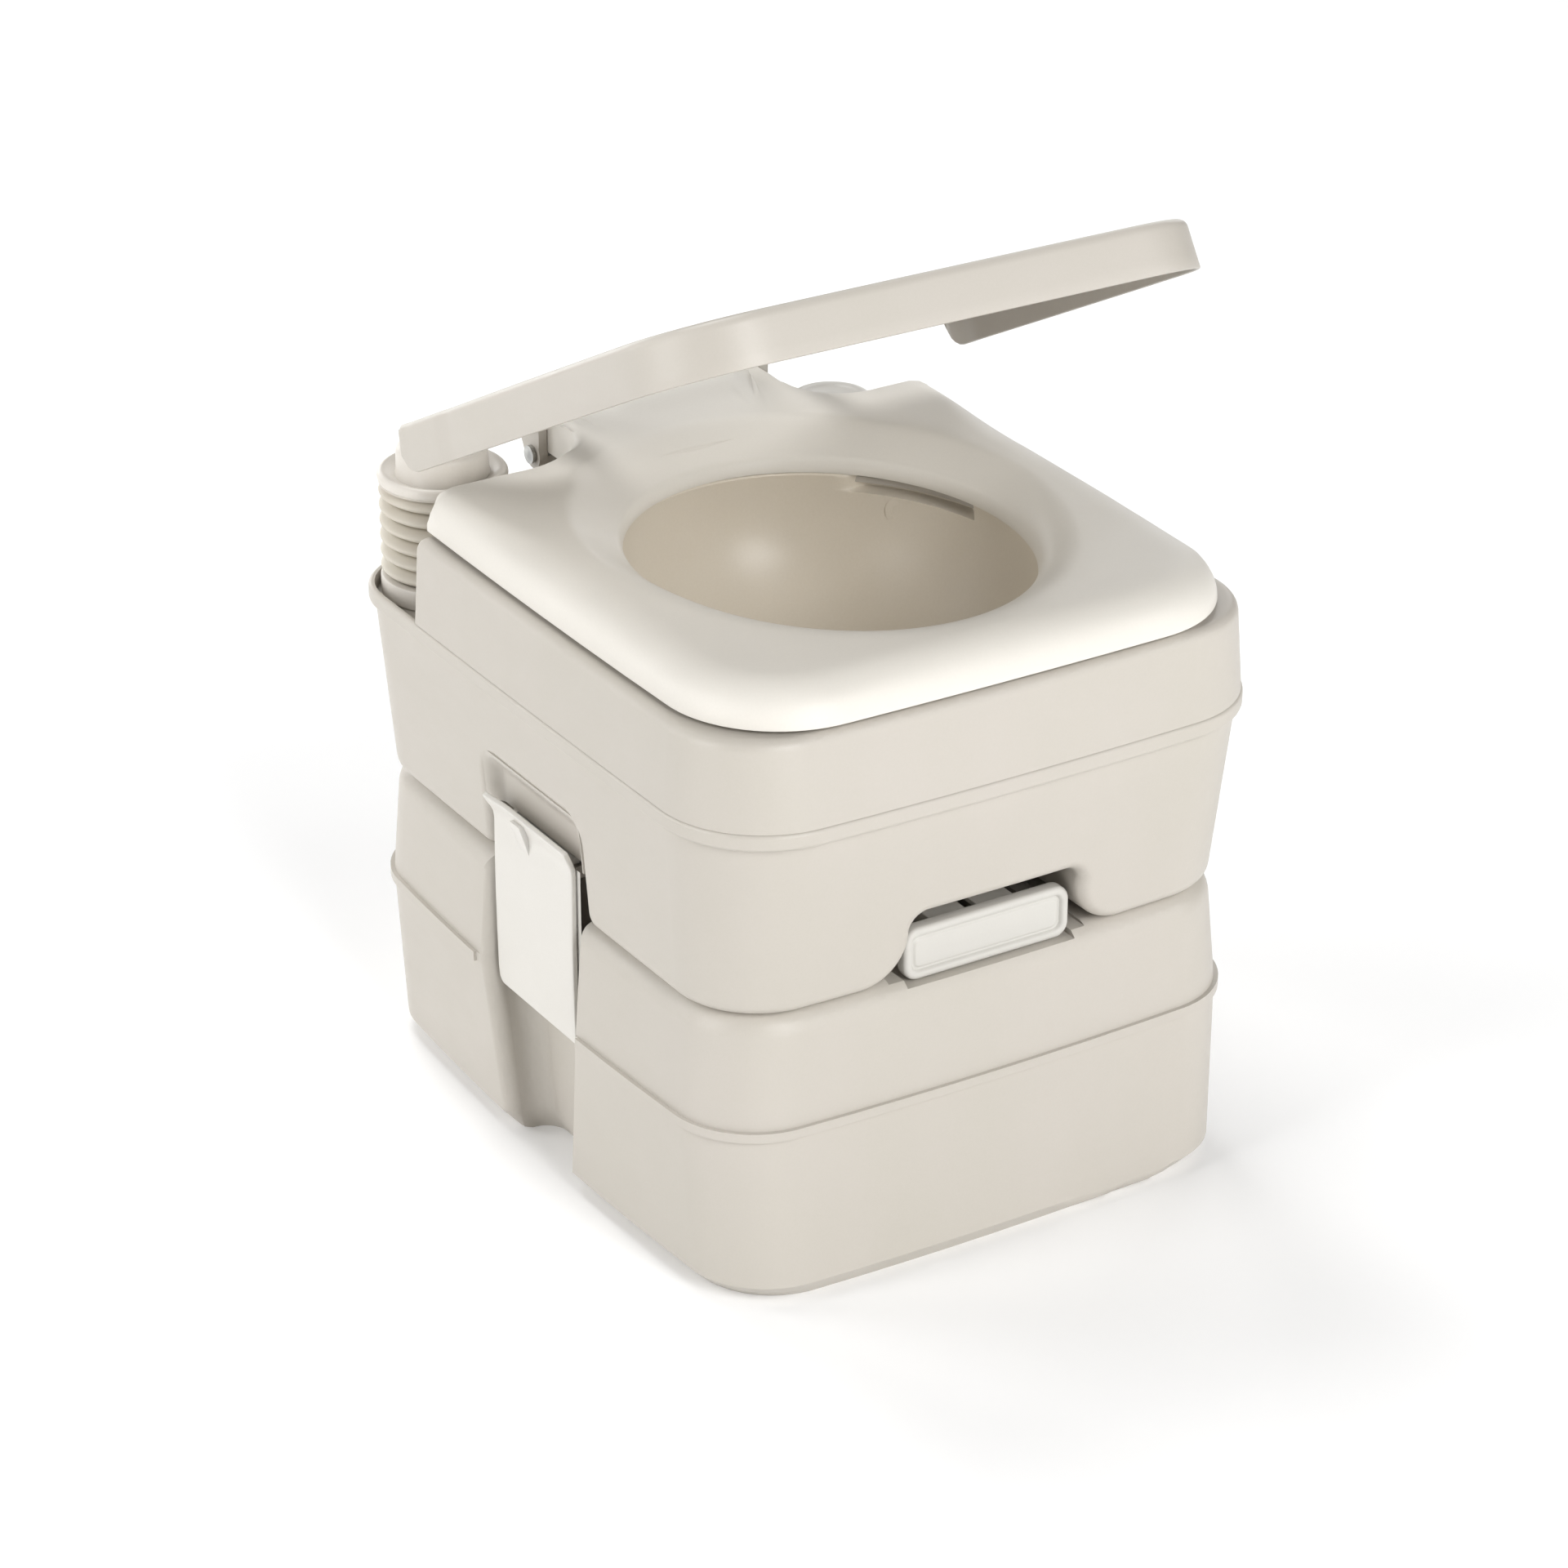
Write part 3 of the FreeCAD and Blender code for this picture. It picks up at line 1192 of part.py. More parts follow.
def pump_collar():
    x, y = "pump_x", "pump_y"
    cup = cylinder("collar_cup", "pump_radius", "collar_top - deck_height", x, y, "deck_height")
    room = cylinder("collar_room", "pump_radius - collar_thick", "collar_top - deck_height",
                    x, y, "deck_height + collar_floor")
    intake = cylinder("collar_intake", "intake_radius + press_gap", "collar_floor", x, y, "deck_height")
    outlet = cylinder("collar_outlet", "hose_radius + press_gap", "collar_floor",
                      "pump_x + hose_offset_x", "pump_y + hose_offset_y", "deck_height")
    keep(cut("pump_collar", cup, room, intake, outlet))
    keep(ring("pump_intake", "intake_radius", "intake_radius - intake_wall",
              "deck_height + collar_floor - intake_low", x, y, "intake_low"))
    keep(cylinder("pump_flap", "flap_radius", "flap_thick", x, y, "deck_height + collar_floor"))


def pump_bellows():
    """Ribs as straight-sided rings, each through four circles, with the bore left open."""
    count = round(dim.bellows_ribs)
    pitch = (dim.bellows_top - dim.collar_top) / count
    shares = ((0.0, 0.0), (0.26, 1.0), (0.74, 1.0), (0.92, 0.0))
    outer = []
    inner = []
    depth = dim.pump_radius - dim.bellows_valley
    for rib in range(count):
        for place_in_rib, swell in shares:
            height = dim.collar_top + (rib + place_in_rib) * pitch
            radius = dim.bellows_valley + depth * swell
            outer.append(circle_wire(radius, dim.pump_x, dim.pump_y, height))
            inner.append(circle_wire(radius - dim.bellows_wall, dim.pump_x, dim.pump_y, height))
    outer.append(circle_wire(dim.bellows_valley, dim.pump_x, dim.pump_y, dim.bellows_top))
    inner.append(circle_wire(dim.bellows_valley - dim.bellows_wall, dim.pump_x, dim.pump_y,
                             dim.bellows_top))
    skin = Part.makeLoft(outer, True, True)
    bore = Part.makeLoft(inner, True, True)
    return solid("pump_bellows", skin.cut(bore))


def pump_cap():
    body = new_body("pump_cap")
    section = sketch_on(body, "pump_cap_section", "XZ_Plane")
    flange_top = "bellows_top + pump_flange"
    polygon(section, [
        ("0", "bellows_top"), ("pump_radius", "bellows_top"), ("pump_radius", flange_top),
        ("pump_radius - pump_lip", flange_top), ("pump_knob", flange_top + " - pump_dish"),
        ("pump_knob - pump_edge", "pump_top"), ("0", "pump_top"),
    ])
    turned = revolve(body, section, "pump_x", "pump_y")
    round_edges(body, turned, "pump_cap_edges", "pump_edge", lambda edge: (
        edge.BoundBox.ZLength < 1e-6 and edge.CenterOfMass.z > dim.bellows_top + 1
        and abs(edge.BoundBox.XLength / 2 - dim.pump_knob) > 0.5))
    return keep(body)


# Filler and spout


def turned_cap(label, radius, bore, low, inside, top, edge_round, place_cap):
    """A plain screw cap: a cup drawn from its open end up to its closed end."""
    body = new_body(label)
    section = sketch_on(body, label + "_section", "XZ_Plane")
    polygon(section, [("0", inside), (bore, inside), (bore, low), (radius, low),
                      (radius, top), ("0", top)])
    turned = revolve(body, section, "0", "0")
    height = number(top)
    round_edges(body, turned, label + "_edge", edge_round, lambda edge: (
        edge.BoundBox.ZLength < 1e-6 and abs(edge.CenterOfMass.z - height) < 1e-4))
    place_cap(body)
    doc.recompute()
    return keep(body)


def filler():
    x, y = "fill_x", "fill_y"
    pipe = cylinder("neck_pipe", "neck_radius", "neck_top - deck_height + cover_wall", x, y,
                    "deck_height - cover_wall")
    flange = cylinder("neck_plate", "neck_flange", "neck_flange_thick", x, y, "deck_height")
    bore = cylinder("neck_hole", "neck_bore", "neck_top - deck_height + cover_wall", x, y,
                    "deck_height - cover_wall")
    keep(cut("filler_neck", fuse("neck_body", pipe, flange), bore))
    keep(ring("fill_cap_seal", "neck_radius", "neck_bore", "cap_seal", x, y, "neck_top"))

    def upright(body):
        place(body, x, y, "0")

    turned_cap("fill_cap", "fill_cap_radius", "neck_radius + loose_gap", "fill_cap_low",
               "neck_top + cap_seal", "fill_cap_top", "fill_cap_edge", upright)


def spout():
    x, z = "spout_x", "spout_z"
    inside = "spout_floor - waste_wall"
    pipe = cylinder("spout_pipe", "spout_radius", f"spout_end - ({inside})", x, inside, z, Y_AXIS)
    flange = cylinder("spout_plate", "spout_flange", "spout_flange_thick", x, "spout_floor", z, Y_AXIS)
    bore = cylinder("spout_hole", "spout_bore", f"spout_end - ({inside})", x, inside, z, Y_AXIS)
    keep(cut("spout_neck", fuse("spout_body", pipe, flange), bore))
    keep(ring("spout_seal", "spout_radius", "spout_bore", "cap_seal", x, "spout_end", z, Y_AXIS))

    def lying(body):
        body.Placement = Placement(Vector(), Rotation(Z_AXIS, Y_AXIS))
        place(body, x, "0", z)

    turned_cap("spout_cap", "spout_cap_radius", "spout_radius + loose_gap",
               "spout_floor + spout_flange_thick + spout_cap_gap", "spout_end + cap_seal",
               "spout_end + cap_seal + spout_cap_top", "fill_cap_edge", lying)


# Seat, lid and hinge


def seat_scallops(extra, low, high):
    """What the seat leaves free behind it: the pump on the left, the filler on the right."""
    far = dim.tub_half_width + MARGIN
    back = dim.tub_back + MARGIN
    rear = dim.seat_rear - extra
    parts = []
    for side, edge, radius in ((-1, dim.seat_left_x, dim.seat_left_round),
                               (1, dim.seat_right_x, dim.seat_right_round)):
        inner = edge - side * extra
        turn = inner + side * radius
        middle = Vector(turn - side * radius * math.sqrt(0.5), rear + radius * (1 - math.sqrt(0.5)), 0)
        parts.append(prism([
            Vector(side * far, rear, 0), Vector(turn, rear, 0),
            (middle, Vector(inner, rear + radius, 0)),
            Vector(inner, back, 0), Vector(side * far, back, 0),
        ], low, high))
    return parts[0].fuse(parts[1])


def seat_opening(extra):
    """The opening of the seat: a hole with a funnel above it that rolls over to a level crest."""
    steps = 6

    def between(start, end, share):
        return start + (end - start) * share

    def section(share, height):
        return ellipse_wire(between(dim.seat_hole_half_width, dim.crest_half_width, share) + extra,
                            between(dim.seat_hole_half_depth, dim.crest_half_depth, share) + extra,
                            between(dim.seat_hole_y, dim.crest_y, share), height)

    sections = []
    for step in range(steps + 1):
        angle = math.pi / 2 * (1 - step / steps)
        height = dim.seat_top - dim.seat_hole_drop * (1 - math.cos(angle))
        sections.append(section(1 - math.sin(angle), height))
    funnel = Part.makeLoft(sections, True, True)
    hole = Part.Face(section(0, dim.seat_low - MARGIN))
    depth = dim.seat_top - dim.seat_hole_drop - dim.seat_low + MARGIN
    return funnel.fuse(hole.extrude(Vector(0, 0, depth)))


def seat_levels(plan):
    """Heights and insets that round the seat's outer edge up to its flat top."""
    rise = dim.seat_top - dim.seat_low
    steps = 6
    levels = []
    for step in range(steps + 1):
        angle = math.pi / 2 * step / steps
        inset = dim.seat_edge * (1 - math.cos(angle))
        levels.append((dim.seat_low + rise * math.sin(angle), plan.grown(-inset)))
    return levels


def seat():
    plan = Plan(dim.seat_half_width, dim.seat_front, dim.seat_tab, dim.seat_corner,
                dim.seat_corner / 2, dim.lid_bow, dim.lid_bow)
    low, high = dim.seat_low - 1, dim.seat_top + 1
    wall = dim.seat_wall
    form = loft(seat_levels(plan))
    form = form.cut([seat_scallops(0, low, high), seat_opening(0)])
    hollow = loft([(low, plan.grown(-dim.seat_edge_wall)),
                   (dim.seat_top - dim.seat_roof, plan.grown(-dim.seat_roof_inset))])
    room = block(-dim.seat_half_width, dim.seat_half_width, -dim.seat_front,
                 dim.seat_rear - wall * 2, low, high)
    bosses = [rod(dim.buffer_boss, Vector(x, y, low), high - low, Z_AXIS) for x, y in seat_buffer_places()]
    hollow = hollow.common(room).cut([seat_opening(wall)] + bosses)
    notch_low = dim.seat_left_x + dim.knuckle_thick
    notch_high = dim.seat_right_x - dim.knuckle_thick
    notch = block(notch_low, notch_high, dim.seat_notch, dim.tub_back + MARGIN, low - MARGIN, high)
    form = form.cut([hollow, notch])
    for x_low in (dim.seat_left_x, notch_high):
        barrel = rod(dim.hinge_boss, Vector(x_low, dim.hinge_y, dim.hinge_z), dim.knuckle_thick, X_AXIS)
        web = block(x_low, x_low + dim.knuckle_thick, dim.seat_notch, dim.hinge_y,
                    dim.hinge_z, dim.hinge_z + dim.hinge_boss)
        form = form.fuse([barrel, web])
    form = form.cut(hinge_pin_hole(dim.hinge_pin + dim.running_fit))
    return solid("seat", form.removeSplitter())


def seat_buffer_places():
    for x in (-dim.buffer_x, dim.buffer_x):
        for y in (dim.buffer_front, dim.buffer_back):
            yield x, y


def seat_buffers():
    pads = []
    for x in ("-buffer_x", "buffer_x"):
        for y in ("buffer_front", "buffer_back"):
            pads.append(cylinder(f"seat_buffer_{len(pads)}", "buffer_radius",
                                 "seat_low - cover_top", x, y, "cover_top"))
    group("seat_buffers", pads)


def lid_turn():
    """The lid's opening about the hinge axis, as the photograph shows it."""
    centre = Vector(0, dim.hinge_y, dim.hinge_z)
    return Placement(Vector(), Rotation(-X_AXIS, dim.lid_angle), centre)


def lid_lug(x_low):
    """A plate from a strip of the lid's top down to its boss on the hinge axis."""
    back = dim.hinge_y + dim.hinge_boss
    front = dim.hinge_y - dim.hinge_boss
    outline = [
        (back, dim.hinge_z), (back, dim.lid_under - dim.hinge_boss),
        (dim.lug_strip_back, dim.lid_top), (dim.lug_neck, dim.lid_top),
        (dim.lug_neck, dim.lid_under - dim.hinge_boss), (front, dim.hinge_z),
    ]
    points = [Vector(x_low, y, z) for y, z in outline]
    plate = Part.Face(Part.makePolygon(points + points[:1])).extrude(Vector(dim.lug_thick, 0, 0))
    barrel = rod(dim.hinge_boss, Vector(x_low, dim.hinge_y, dim.hinge_z), dim.lug_thick, X_AXIS)
    return plate.fuse(barrel)


def lid_lug_starts():
    return (dim.seat_left_x - dim.hinge_gap - dim.lug_thick, dim.seat_right_x + dim.hinge_gap)


def lid_rim_ends():
    """What is taken off the lower rear ends of the lid's side rims to round them."""
    far = dim.lid_half_width + MARGIN
    radius = dim.lid_end_round
    parts = []
    for x_low, back in ((-far, dim.lid_back), (0, dim.lid_short_back)):
        start = back - radius
        end = block(x_low, x_low + far, start, back + 1, dim.lid_low - 1, dim.lid_low + radius)
        parts.append(end.cut(rod(radius, Vector(x_low, start, dim.lid_low + radius), far, X_AXIS)))
    return parts


def lid_back_step():
    """What is taken off the lid's back edge, which is full length only beside the pump."""
    far, back = dim.lid_half_width + MARGIN, dim.lid_back + MARGIN
    return prism([
        Vector(dim.lid_step_left, dim.lid_back, 0), Vector(dim.lid_step_right, dim.lid_short_back, 0),
        Vector(far, dim.lid_short_back, 0), Vector(far, back, 0), Vector(dim.lid_step_left, back, 0),
    ], dim.lid_low - 1, dim.lid_top + 1)


def lid():
    low = Plan(dim.lid_half_width, dim.lid_front, dim.lid_back, dim.lid_corner, dim.lid_back_corner,
               dim.lid_bow, dim.lid_bow)
    high = low.grown(-dim.lid_draft)
    outer = loft([(dim.lid_low, low), (dim.lid_top, high)])
    outer = outer.makeFillet(dim.lid_round, level_edges(outer, dim.lid_top))
    wall = dim.lid_wall
    inner_low, inner_high = low.grown(-wall), high.grown(-wall)
    for plan in (inner_low, inner_high):
        plan.back = dim.lid_back + MARGIN
    inner = loft([(dim.lid_low - 1, inner_low), (dim.lid_under, inner_high)])
    shell = outer.cut([inner, lid_back_step()] + lid_rim_ends())
    left, right = lid_lug_starts()
    strips = ((left + dim.lug_thick - dim.lug_strip, left + dim.lug_thick),
              (right, right + dim.lug_thick + dim.hinge_boss))
    for lug_start, (x_low, x_high) in zip((left, right), strips):
        strip = block(x_low, x_high, dim.lid_short_back - 2 * dim.lid_round, dim.lug_strip_back,
                      dim.lid_under, dim.lid_top)
        shell = shell.fuse([strip, lid_lug(lug_start)])
    shell = shell.cut(hinge_pin_hole(dim.hinge_pin + dim.running_fit))
    solid("lid", shell.removeSplitter(), lid_turn())
    pads = [rod(dim.buffer_radius, Vector(side * dim.lid_buffer_x, dim.lid_buffer_y, dim.lid_buffer_low),
                dim.lid_under - dim.lid_buffer_low, Z_AXIS) for side in (-1, 1)]
    solid("lid_buffers", Part.makeCompound(pads), lid_turn())


def hinge_pins():
    """Headed pins from outside each lid lug, through the seat, into a post of the cover."""
    left_lug, right_lug = lid_lug_starts()
    left_post, right_post = hinge_post_starts()
    gap = dim.hinge_gap
    head = dim.hinge_head_thick
    left_head = left_lug - gap - head
    right_head = right_lug + dim.lug_thick + gap
    spans = (("hinge_pin_left", left_head, left_head, left_post + dim.post_thick),
             ("hinge_pin_right", right_head, right_post, right_head + head))
    for label, head_start, start, end in spans:
        shank = rod(dim.hinge_pin, Vector(start, dim.hinge_y, dim.hinge_z), end - start, X_AXIS)
        button = rod(dim.hinge_head, Vector(head_start, dim.hinge_y, dim.hinge_z), head, X_AXIS)
        solid(label, shank.fuse(button))


# Latches


def latch(label, side):
    """A latch plate, drawn from the front and drawn out along Y; side is 1 at +X and -1 at -X."""
    body = new_body(label)

    def across(text):
        return f"{side} * ({text})"

    def drawn(name, corners, half):
        profile = sketch_on(body, f"{label}_{name}", "XZ_Plane")
        polygon(profile, [(across(x), z) for x, z in corners])
        return pad(body, profile, f"2 * {half}", midplane=True)

    plate = drawn("plate", [
        ("latch_in", "latch_low"), ("latch_out", "latch_low"), ("latch_out", "latch_bend"),
        ("latch_out + latch_flare", "latch_high"),
        ("latch_in + latch_flare", "latch_high"), ("latch_in", "latch_bend"),
    ], "latch_half")

    def lower_corner(edge):
        return along(X_AXIS)(edge) and abs(edge.CenterOfMass.z - dim.latch_low) < 1e-4

    round_edges(body, plate, f"{label}_corners", "latch_corner", lower_corner)
    drawn("hook", [("latch_hook_x", "latch_hook_low"), ("latch_in", "latch_hook_low"),
                   ("latch_in", "latch_hook_high"), ("latch_hook_x", "latch_hook_high")],
          "latch_hook_half")
    drawn("web", [("latch_pivot_x", "latch_pivot_z - latch_knuckle"),
                  ("latch_in", "latch_pivot_z - latch_knuckle"),
                  ("latch_in", "latch_pivot_z + latch_knuckle"),
                  ("latch_pivot_x", "latch_pivot_z + latch_knuckle")], "latch_knuckle_half")
    knuckle = sketch_on(body, f"{label}_knuckle", "XZ_Plane")
    circle(knuckle, "latch_knuckle", across("latch_pivot_x"), "latch_pivot_z")
    pad(body, knuckle, "2 * latch_knuckle_half", midplane=True)
    bore = sketch_on(body, f"{label}_bore", "XZ_Plane")
    circle(bore, "latch_pin + running_fit", across("latch_pivot_x"), "latch_pivot_z")
    pocket(body, bore, "2 * latch_half", midplane=True)
    keep(body)
    reach = "latch_knuckle_half + hinge_gap + lug_length"
    keep(cylinder(f"{label}_pin", "latch_pin", f"2 * ({reach})", across("latch_pivot_x"),
                  f"-({reach})", "latch_pivot_z", Y_AXIS))


# Build, check and write


def build():
    waste_tank()
    valve_base()
    valve_guide()
    valve_blade()
    valve_handle()
    valve_trim()
    fresh_tank_tub()
    fresh_tank_cover()
    bowl()
    flush_hose()
    flush_nozzle()
    pump_collar()
    pump_bellows()
    pump_cap()
    filler()
    spout()
    seat()
    seat_buffers()
    lid()
    hinge_pins()
    latch("latch_left", -1)
    latch("latch_right", 1)
    doc.recompute()


def check():
    for item in doc.Objects:
        if "Invalid" in item.State or "Error" in item.State:
            raise RuntimeError(f"{item.Label} failed: {item.State}")
    for piece in pieces:
        if piece.Shape.isNull() or not piece.Shape.isValid():
            raise RuntimeError(f"{piece.Label} has no valid shape")


def write():
    os.makedirs("parts", exist_ok=True)
    for piece in pieces:
        piece.Shape.exportStep(os.path.join("parts", piece.Label + ".step"))
        print(f"{piece.Label}: {len(piece.Shape.Solids)} solids, {piece.Shape.Volume / 1000:.1f} cm3")


build()
check()
write()
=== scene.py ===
import json
import math

import bmesh
import bpy
from mathutils import Matrix, Vector
from mathutils.bvhtree import BVHTree


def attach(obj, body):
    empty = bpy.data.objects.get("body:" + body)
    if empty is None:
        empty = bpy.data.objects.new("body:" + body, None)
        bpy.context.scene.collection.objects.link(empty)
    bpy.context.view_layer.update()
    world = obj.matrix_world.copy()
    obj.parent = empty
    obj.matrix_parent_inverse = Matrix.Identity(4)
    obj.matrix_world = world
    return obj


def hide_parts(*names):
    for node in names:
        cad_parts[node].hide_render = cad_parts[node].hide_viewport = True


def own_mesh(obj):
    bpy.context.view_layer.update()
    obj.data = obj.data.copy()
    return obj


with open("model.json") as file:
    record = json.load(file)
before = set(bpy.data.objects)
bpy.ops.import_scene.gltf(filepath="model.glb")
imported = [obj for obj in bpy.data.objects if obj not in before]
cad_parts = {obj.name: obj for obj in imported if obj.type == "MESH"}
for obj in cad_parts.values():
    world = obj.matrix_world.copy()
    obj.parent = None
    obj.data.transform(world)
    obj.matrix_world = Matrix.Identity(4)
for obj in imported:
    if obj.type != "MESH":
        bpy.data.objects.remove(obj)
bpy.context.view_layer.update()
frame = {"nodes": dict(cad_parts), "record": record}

# Sizes below are in millimetres; MM brings them into the frame.
MM = 0.001

HINGE = (0.0, 178.0, 312.0)
LID_ANGLE = 27.5
SEAT_LOW, SEAT_TOP = 314.3, 336.0
PUMP = (-121.0, 155.0)
FILLER = (119.0, 158.0)


# Modelling


def at(x, y, z):
    return Vector((x, y, z)) * MM


def put_down():
    """Leave edit mode and let go of everything."""
    if bpy.context.object and bpy.context.object.mode != "OBJECT":
        bpy.ops.object.mode_set(mode="OBJECT")
    bpy.ops.object.select_all(action="DESELECT")


def pick_up(obj):
    put_down()
    obj.select_set(True)
    bpy.context.view_layer.objects.active = obj


def close_up(obj, gap=0.01):
    """Merge what meets and turn the faces outwards."""
    bpy.ops.mesh.select_all(action="SELECT")
    bpy.ops.mesh.remove_doubles(threshold=gap * MM)
    bpy.ops.mesh.normals_make_consistent(inside=False)
    bpy.ops.object.mode_set(mode="OBJECT")
    return obj


def apply_modifier(obj, kind, **settings):
    pick_up(obj)
    modifier = obj.modifiers.new(kind.title(), kind)
    for key, value in settings.items():
        setattr(modifier, key, value)
    bpy.ops.object.modifier_apply(modifier=modifier.name)


def soften(obj, width, segments=3, angle=35):
    apply_modifier(obj, "BEVEL", width=width * MM, segments=segments, limit_method="ANGLE",
                   angle_limit=math.radians(angle), harden_normals=False)


def smooth(obj, angle=35):
    pick_up(obj)
    bpy.ops.object.shade_smooth_by_angle(angle=math.radians(angle))


def join(first, *others):
    pick_up(first)
    for other in others:
        other.select_set(True)
    bpy.ops.object.join()
    return first


def turned(name, centre, profile, sides=96):
    """A turned skin: a ring drawn up its axis through (radius, height) steps."""
    put_down()
    x, y = centre
    least = 0.02
    radius, height = profile[0]
    bpy.ops.mesh.primitive_circle_add(vertices=sides, radius=max(radius, least) * MM,
                                      location=at(x, y, height))
    obj = bpy.context.object
    obj.name = name
    bpy.ops.object.transform_apply(location=True, rotation=True, scale=True)
    bpy.ops.object.mode_set(mode="EDIT")
    bpy.ops.mesh.select_all(action="SELECT")
    for (r_from, z_from), (r_to, z_to) in zip(profile, profile[1:]):
        ratio = max(r_to, least) / max(r_from, least)
        bpy.ops.mesh.extrude_region_move(TRANSFORM_OT_translate={"value": (0, 0, (z_to - z_from) * MM)})
        bpy.ops.transform.resize(value=(ratio, ratio, 1), center_override=at(x, y, z_to))
    return close_up(obj, 0.05)


def drawn(name, rings, gap=0.01):
    """A skin drawn out ring by ring, each ring set to its own points."""
    put_down()
    count = len(rings[0])
    bpy.ops.mesh.primitive_circle_add(vertices=count, radius=0.1)
    obj = bpy.context.object
    obj.name = name
    spoke = obj.data.attributes.new("spoke", "INT", "POINT")
    spoke.data.foreach_set("value", range(count))
    bpy.ops.object.mode_set(mode="EDIT")
    bpy.ops.mesh.select_all(action="SELECT")
    for number, ring in enumerate(rings):
        if number:
            bpy.ops.mesh.extrude_region_move()
        mesh = bmesh.from_edit_mesh(obj.data)
        layer = mesh.verts.layers.int["spoke"]
        for vert in mesh.verts:
            if vert.select:
                vert.co = ring[vert[layer]]
        bmesh.update_edit_mesh(obj.data)
    close_up(obj, gap)
    obj.data.attributes.remove(obj.data.attributes["spoke"])
    return obj


def block(name, low, high, edge=0.0, segments=3):
    """A box between two corners with softened edges."""
    put_down()
    low, high = Vector(low), Vector(high)
    middle, size = (low + high) / 2, high - low
    bpy.ops.mesh.primitive_cube_add(size=MM, location=at(*middle))
    obj = bpy.context.object
    obj.name = name
    obj.scale = size
    bpy.ops.object.transform_apply(location=True, rotation=True, scale=True)
    if edge:
        soften(obj, edge, segments)
    return obj


def cad_copy(node, name, keep_from=None, keep_towards=None):
    """A copy of a solid with its faces joined, whole or cut off at a plane."""
    put_down()
    obj = frame["nodes"][node].copy()
    obj.data = obj.data.copy()
    for key in list(obj.keys()):
        del obj[key]
    obj.parent = None
    obj.name = name
    obj.data.materials.clear()
    bpy.context.scene.collection.objects.link(obj)
    pick_up(obj)
    bpy.ops.object.mode_set(mode="EDIT")
    bpy.ops.mesh.select_all(action="SELECT")
    bpy.ops.mesh.remove_doubles(threshold=0.002 * MM)
    if keep_from is not None:
        bpy.ops.mesh.bisect(plane_co=keep_from, plane_no=keep_towards, use_fill=True, clear_inner=True)
    bpy.ops.object.mode_set(mode="OBJECT")
    if obj.data.has_custom_normals:
        bpy.ops.mesh.customdata_custom_splitnormals_clear()
    return obj


def swing(obj, degrees):
    """Turn a piece about the lid's hinge and leave its place in its mesh."""
    pivot = Matrix.Translation(at(*HINGE))
    turn = pivot @ Matrix.Rotation(math.radians(degrees), 4, "X") @ pivot.inverted()
    obj.data.transform(turn)
    obj.data.update()
    return obj


def rounded_box(half_x, half_y, radius, steps=8):
    """Points round a rectangle with round corners, about its middle."""
    points = []
    for number, (sx, sy) in enumerate(((1, 1), (-1, 1), (-1, -1), (1, -1))):
        for step in range(steps + 1):
            angle = math.pi / 2 * (number + step / steps)
            points.append((sx * (half_x - radius) + radius * math.cos(angle),
                           sy * (half_y - radius) + radius * math.sin(angle)))
    return points


def ease(low, high, value):
    share = min(max((value - low) / (high - low), 0.0), 1.0)
    return share * share * (3 - 2 * share)


# Finishes


def tone(red, green, blue):
    """A colour as it is read off a screen, made linear."""
    parts = []
    for part in (red, green, blue):
        part /= 255
        parts.append(part / 12.92 if part <= 0.04045 else ((part + 0.055) / 1.055) ** 2.4)
    return (*parts, 1.0)


class Finish:
    """A procedural material, drawn on object coordinates."""

    def __init__(self, name):
        self.material = bpy.data.materials.new(name)
        self.material.use_nodes = True
        self.nodes = self.material.node_tree.nodes
        self.shader = self.nodes["Principled BSDF"]
        self.place = self.node("ShaderNodeTexCoord").outputs["Object"]

    def node(self, kind, **settings):
        made = self.nodes.new(kind)
        for key, value in settings.items():
            setattr(made, key, value)
        return made

    def link(self, source, target):
        self.material.node_tree.links.new(source, target)

    def noise(self, scale, detail=2.0, roughness=0.5, stretch=None):
        made = self.node("ShaderNodeTexNoise")
        made.inputs["Scale"].default_value = scale
        made.inputs["Detail"].default_value = detail
        made.inputs["Roughness"].default_value = roughness
        place = self.place
        if stretch:
            mapping = self.node("ShaderNodeMapping")
            mapping.inputs["Scale"].default_value = stretch
            self.link(place, mapping.inputs["Vector"])
            place = mapping.outputs["Vector"]
        self.link(place, made.inputs["Vector"])
        return made.outputs["Fac"]

    def spread(self, source, low, high, to_low=0.0, to_high=1.0):
        made = self.node("ShaderNodeMapRange")
        for key, value in (("From Min", low), ("From Max", high), ("To Min", to_low), ("To Max", to_high)):
            made.inputs[key].default_value = value
        self.link(source, made.inputs["Value"])
        return made.outputs["Result"]

    def mixed(self, share, first, second):
        made = self.node("ShaderNodeMix", data_type="RGBA")
        self.link(share, made.inputs["Factor"])
        for value, socket in ((first, made.inputs[6]), (second, made.inputs[7])):
            if isinstance(value, tuple):
                socket.default_value = value
            else:
                self.link(value, socket)
        return made.outputs[2]

    def sum_of(self, first, second, operation="ADD"):
        made = self.node("ShaderNodeMath", operation=operation)
        for value, socket in ((first, made.inputs[0]), (second, made.inputs[1])):
            if isinstance(value, float):
                socket.default_value = value
            else:
                self.link(value, socket)
        return made.outputs["Value"]

    def bump(self, height, distance, strength=1.0, under=None):
        made = self.node("ShaderNodeBump")
        made.inputs["Distance"].default_value = distance * MM
        made.inputs["Strength"].default_value = strength
        self.link(height, made.inputs["Height"])
        if under:
            self.link(under, made.inputs["Normal"])
        return made.outputs["Normal"]


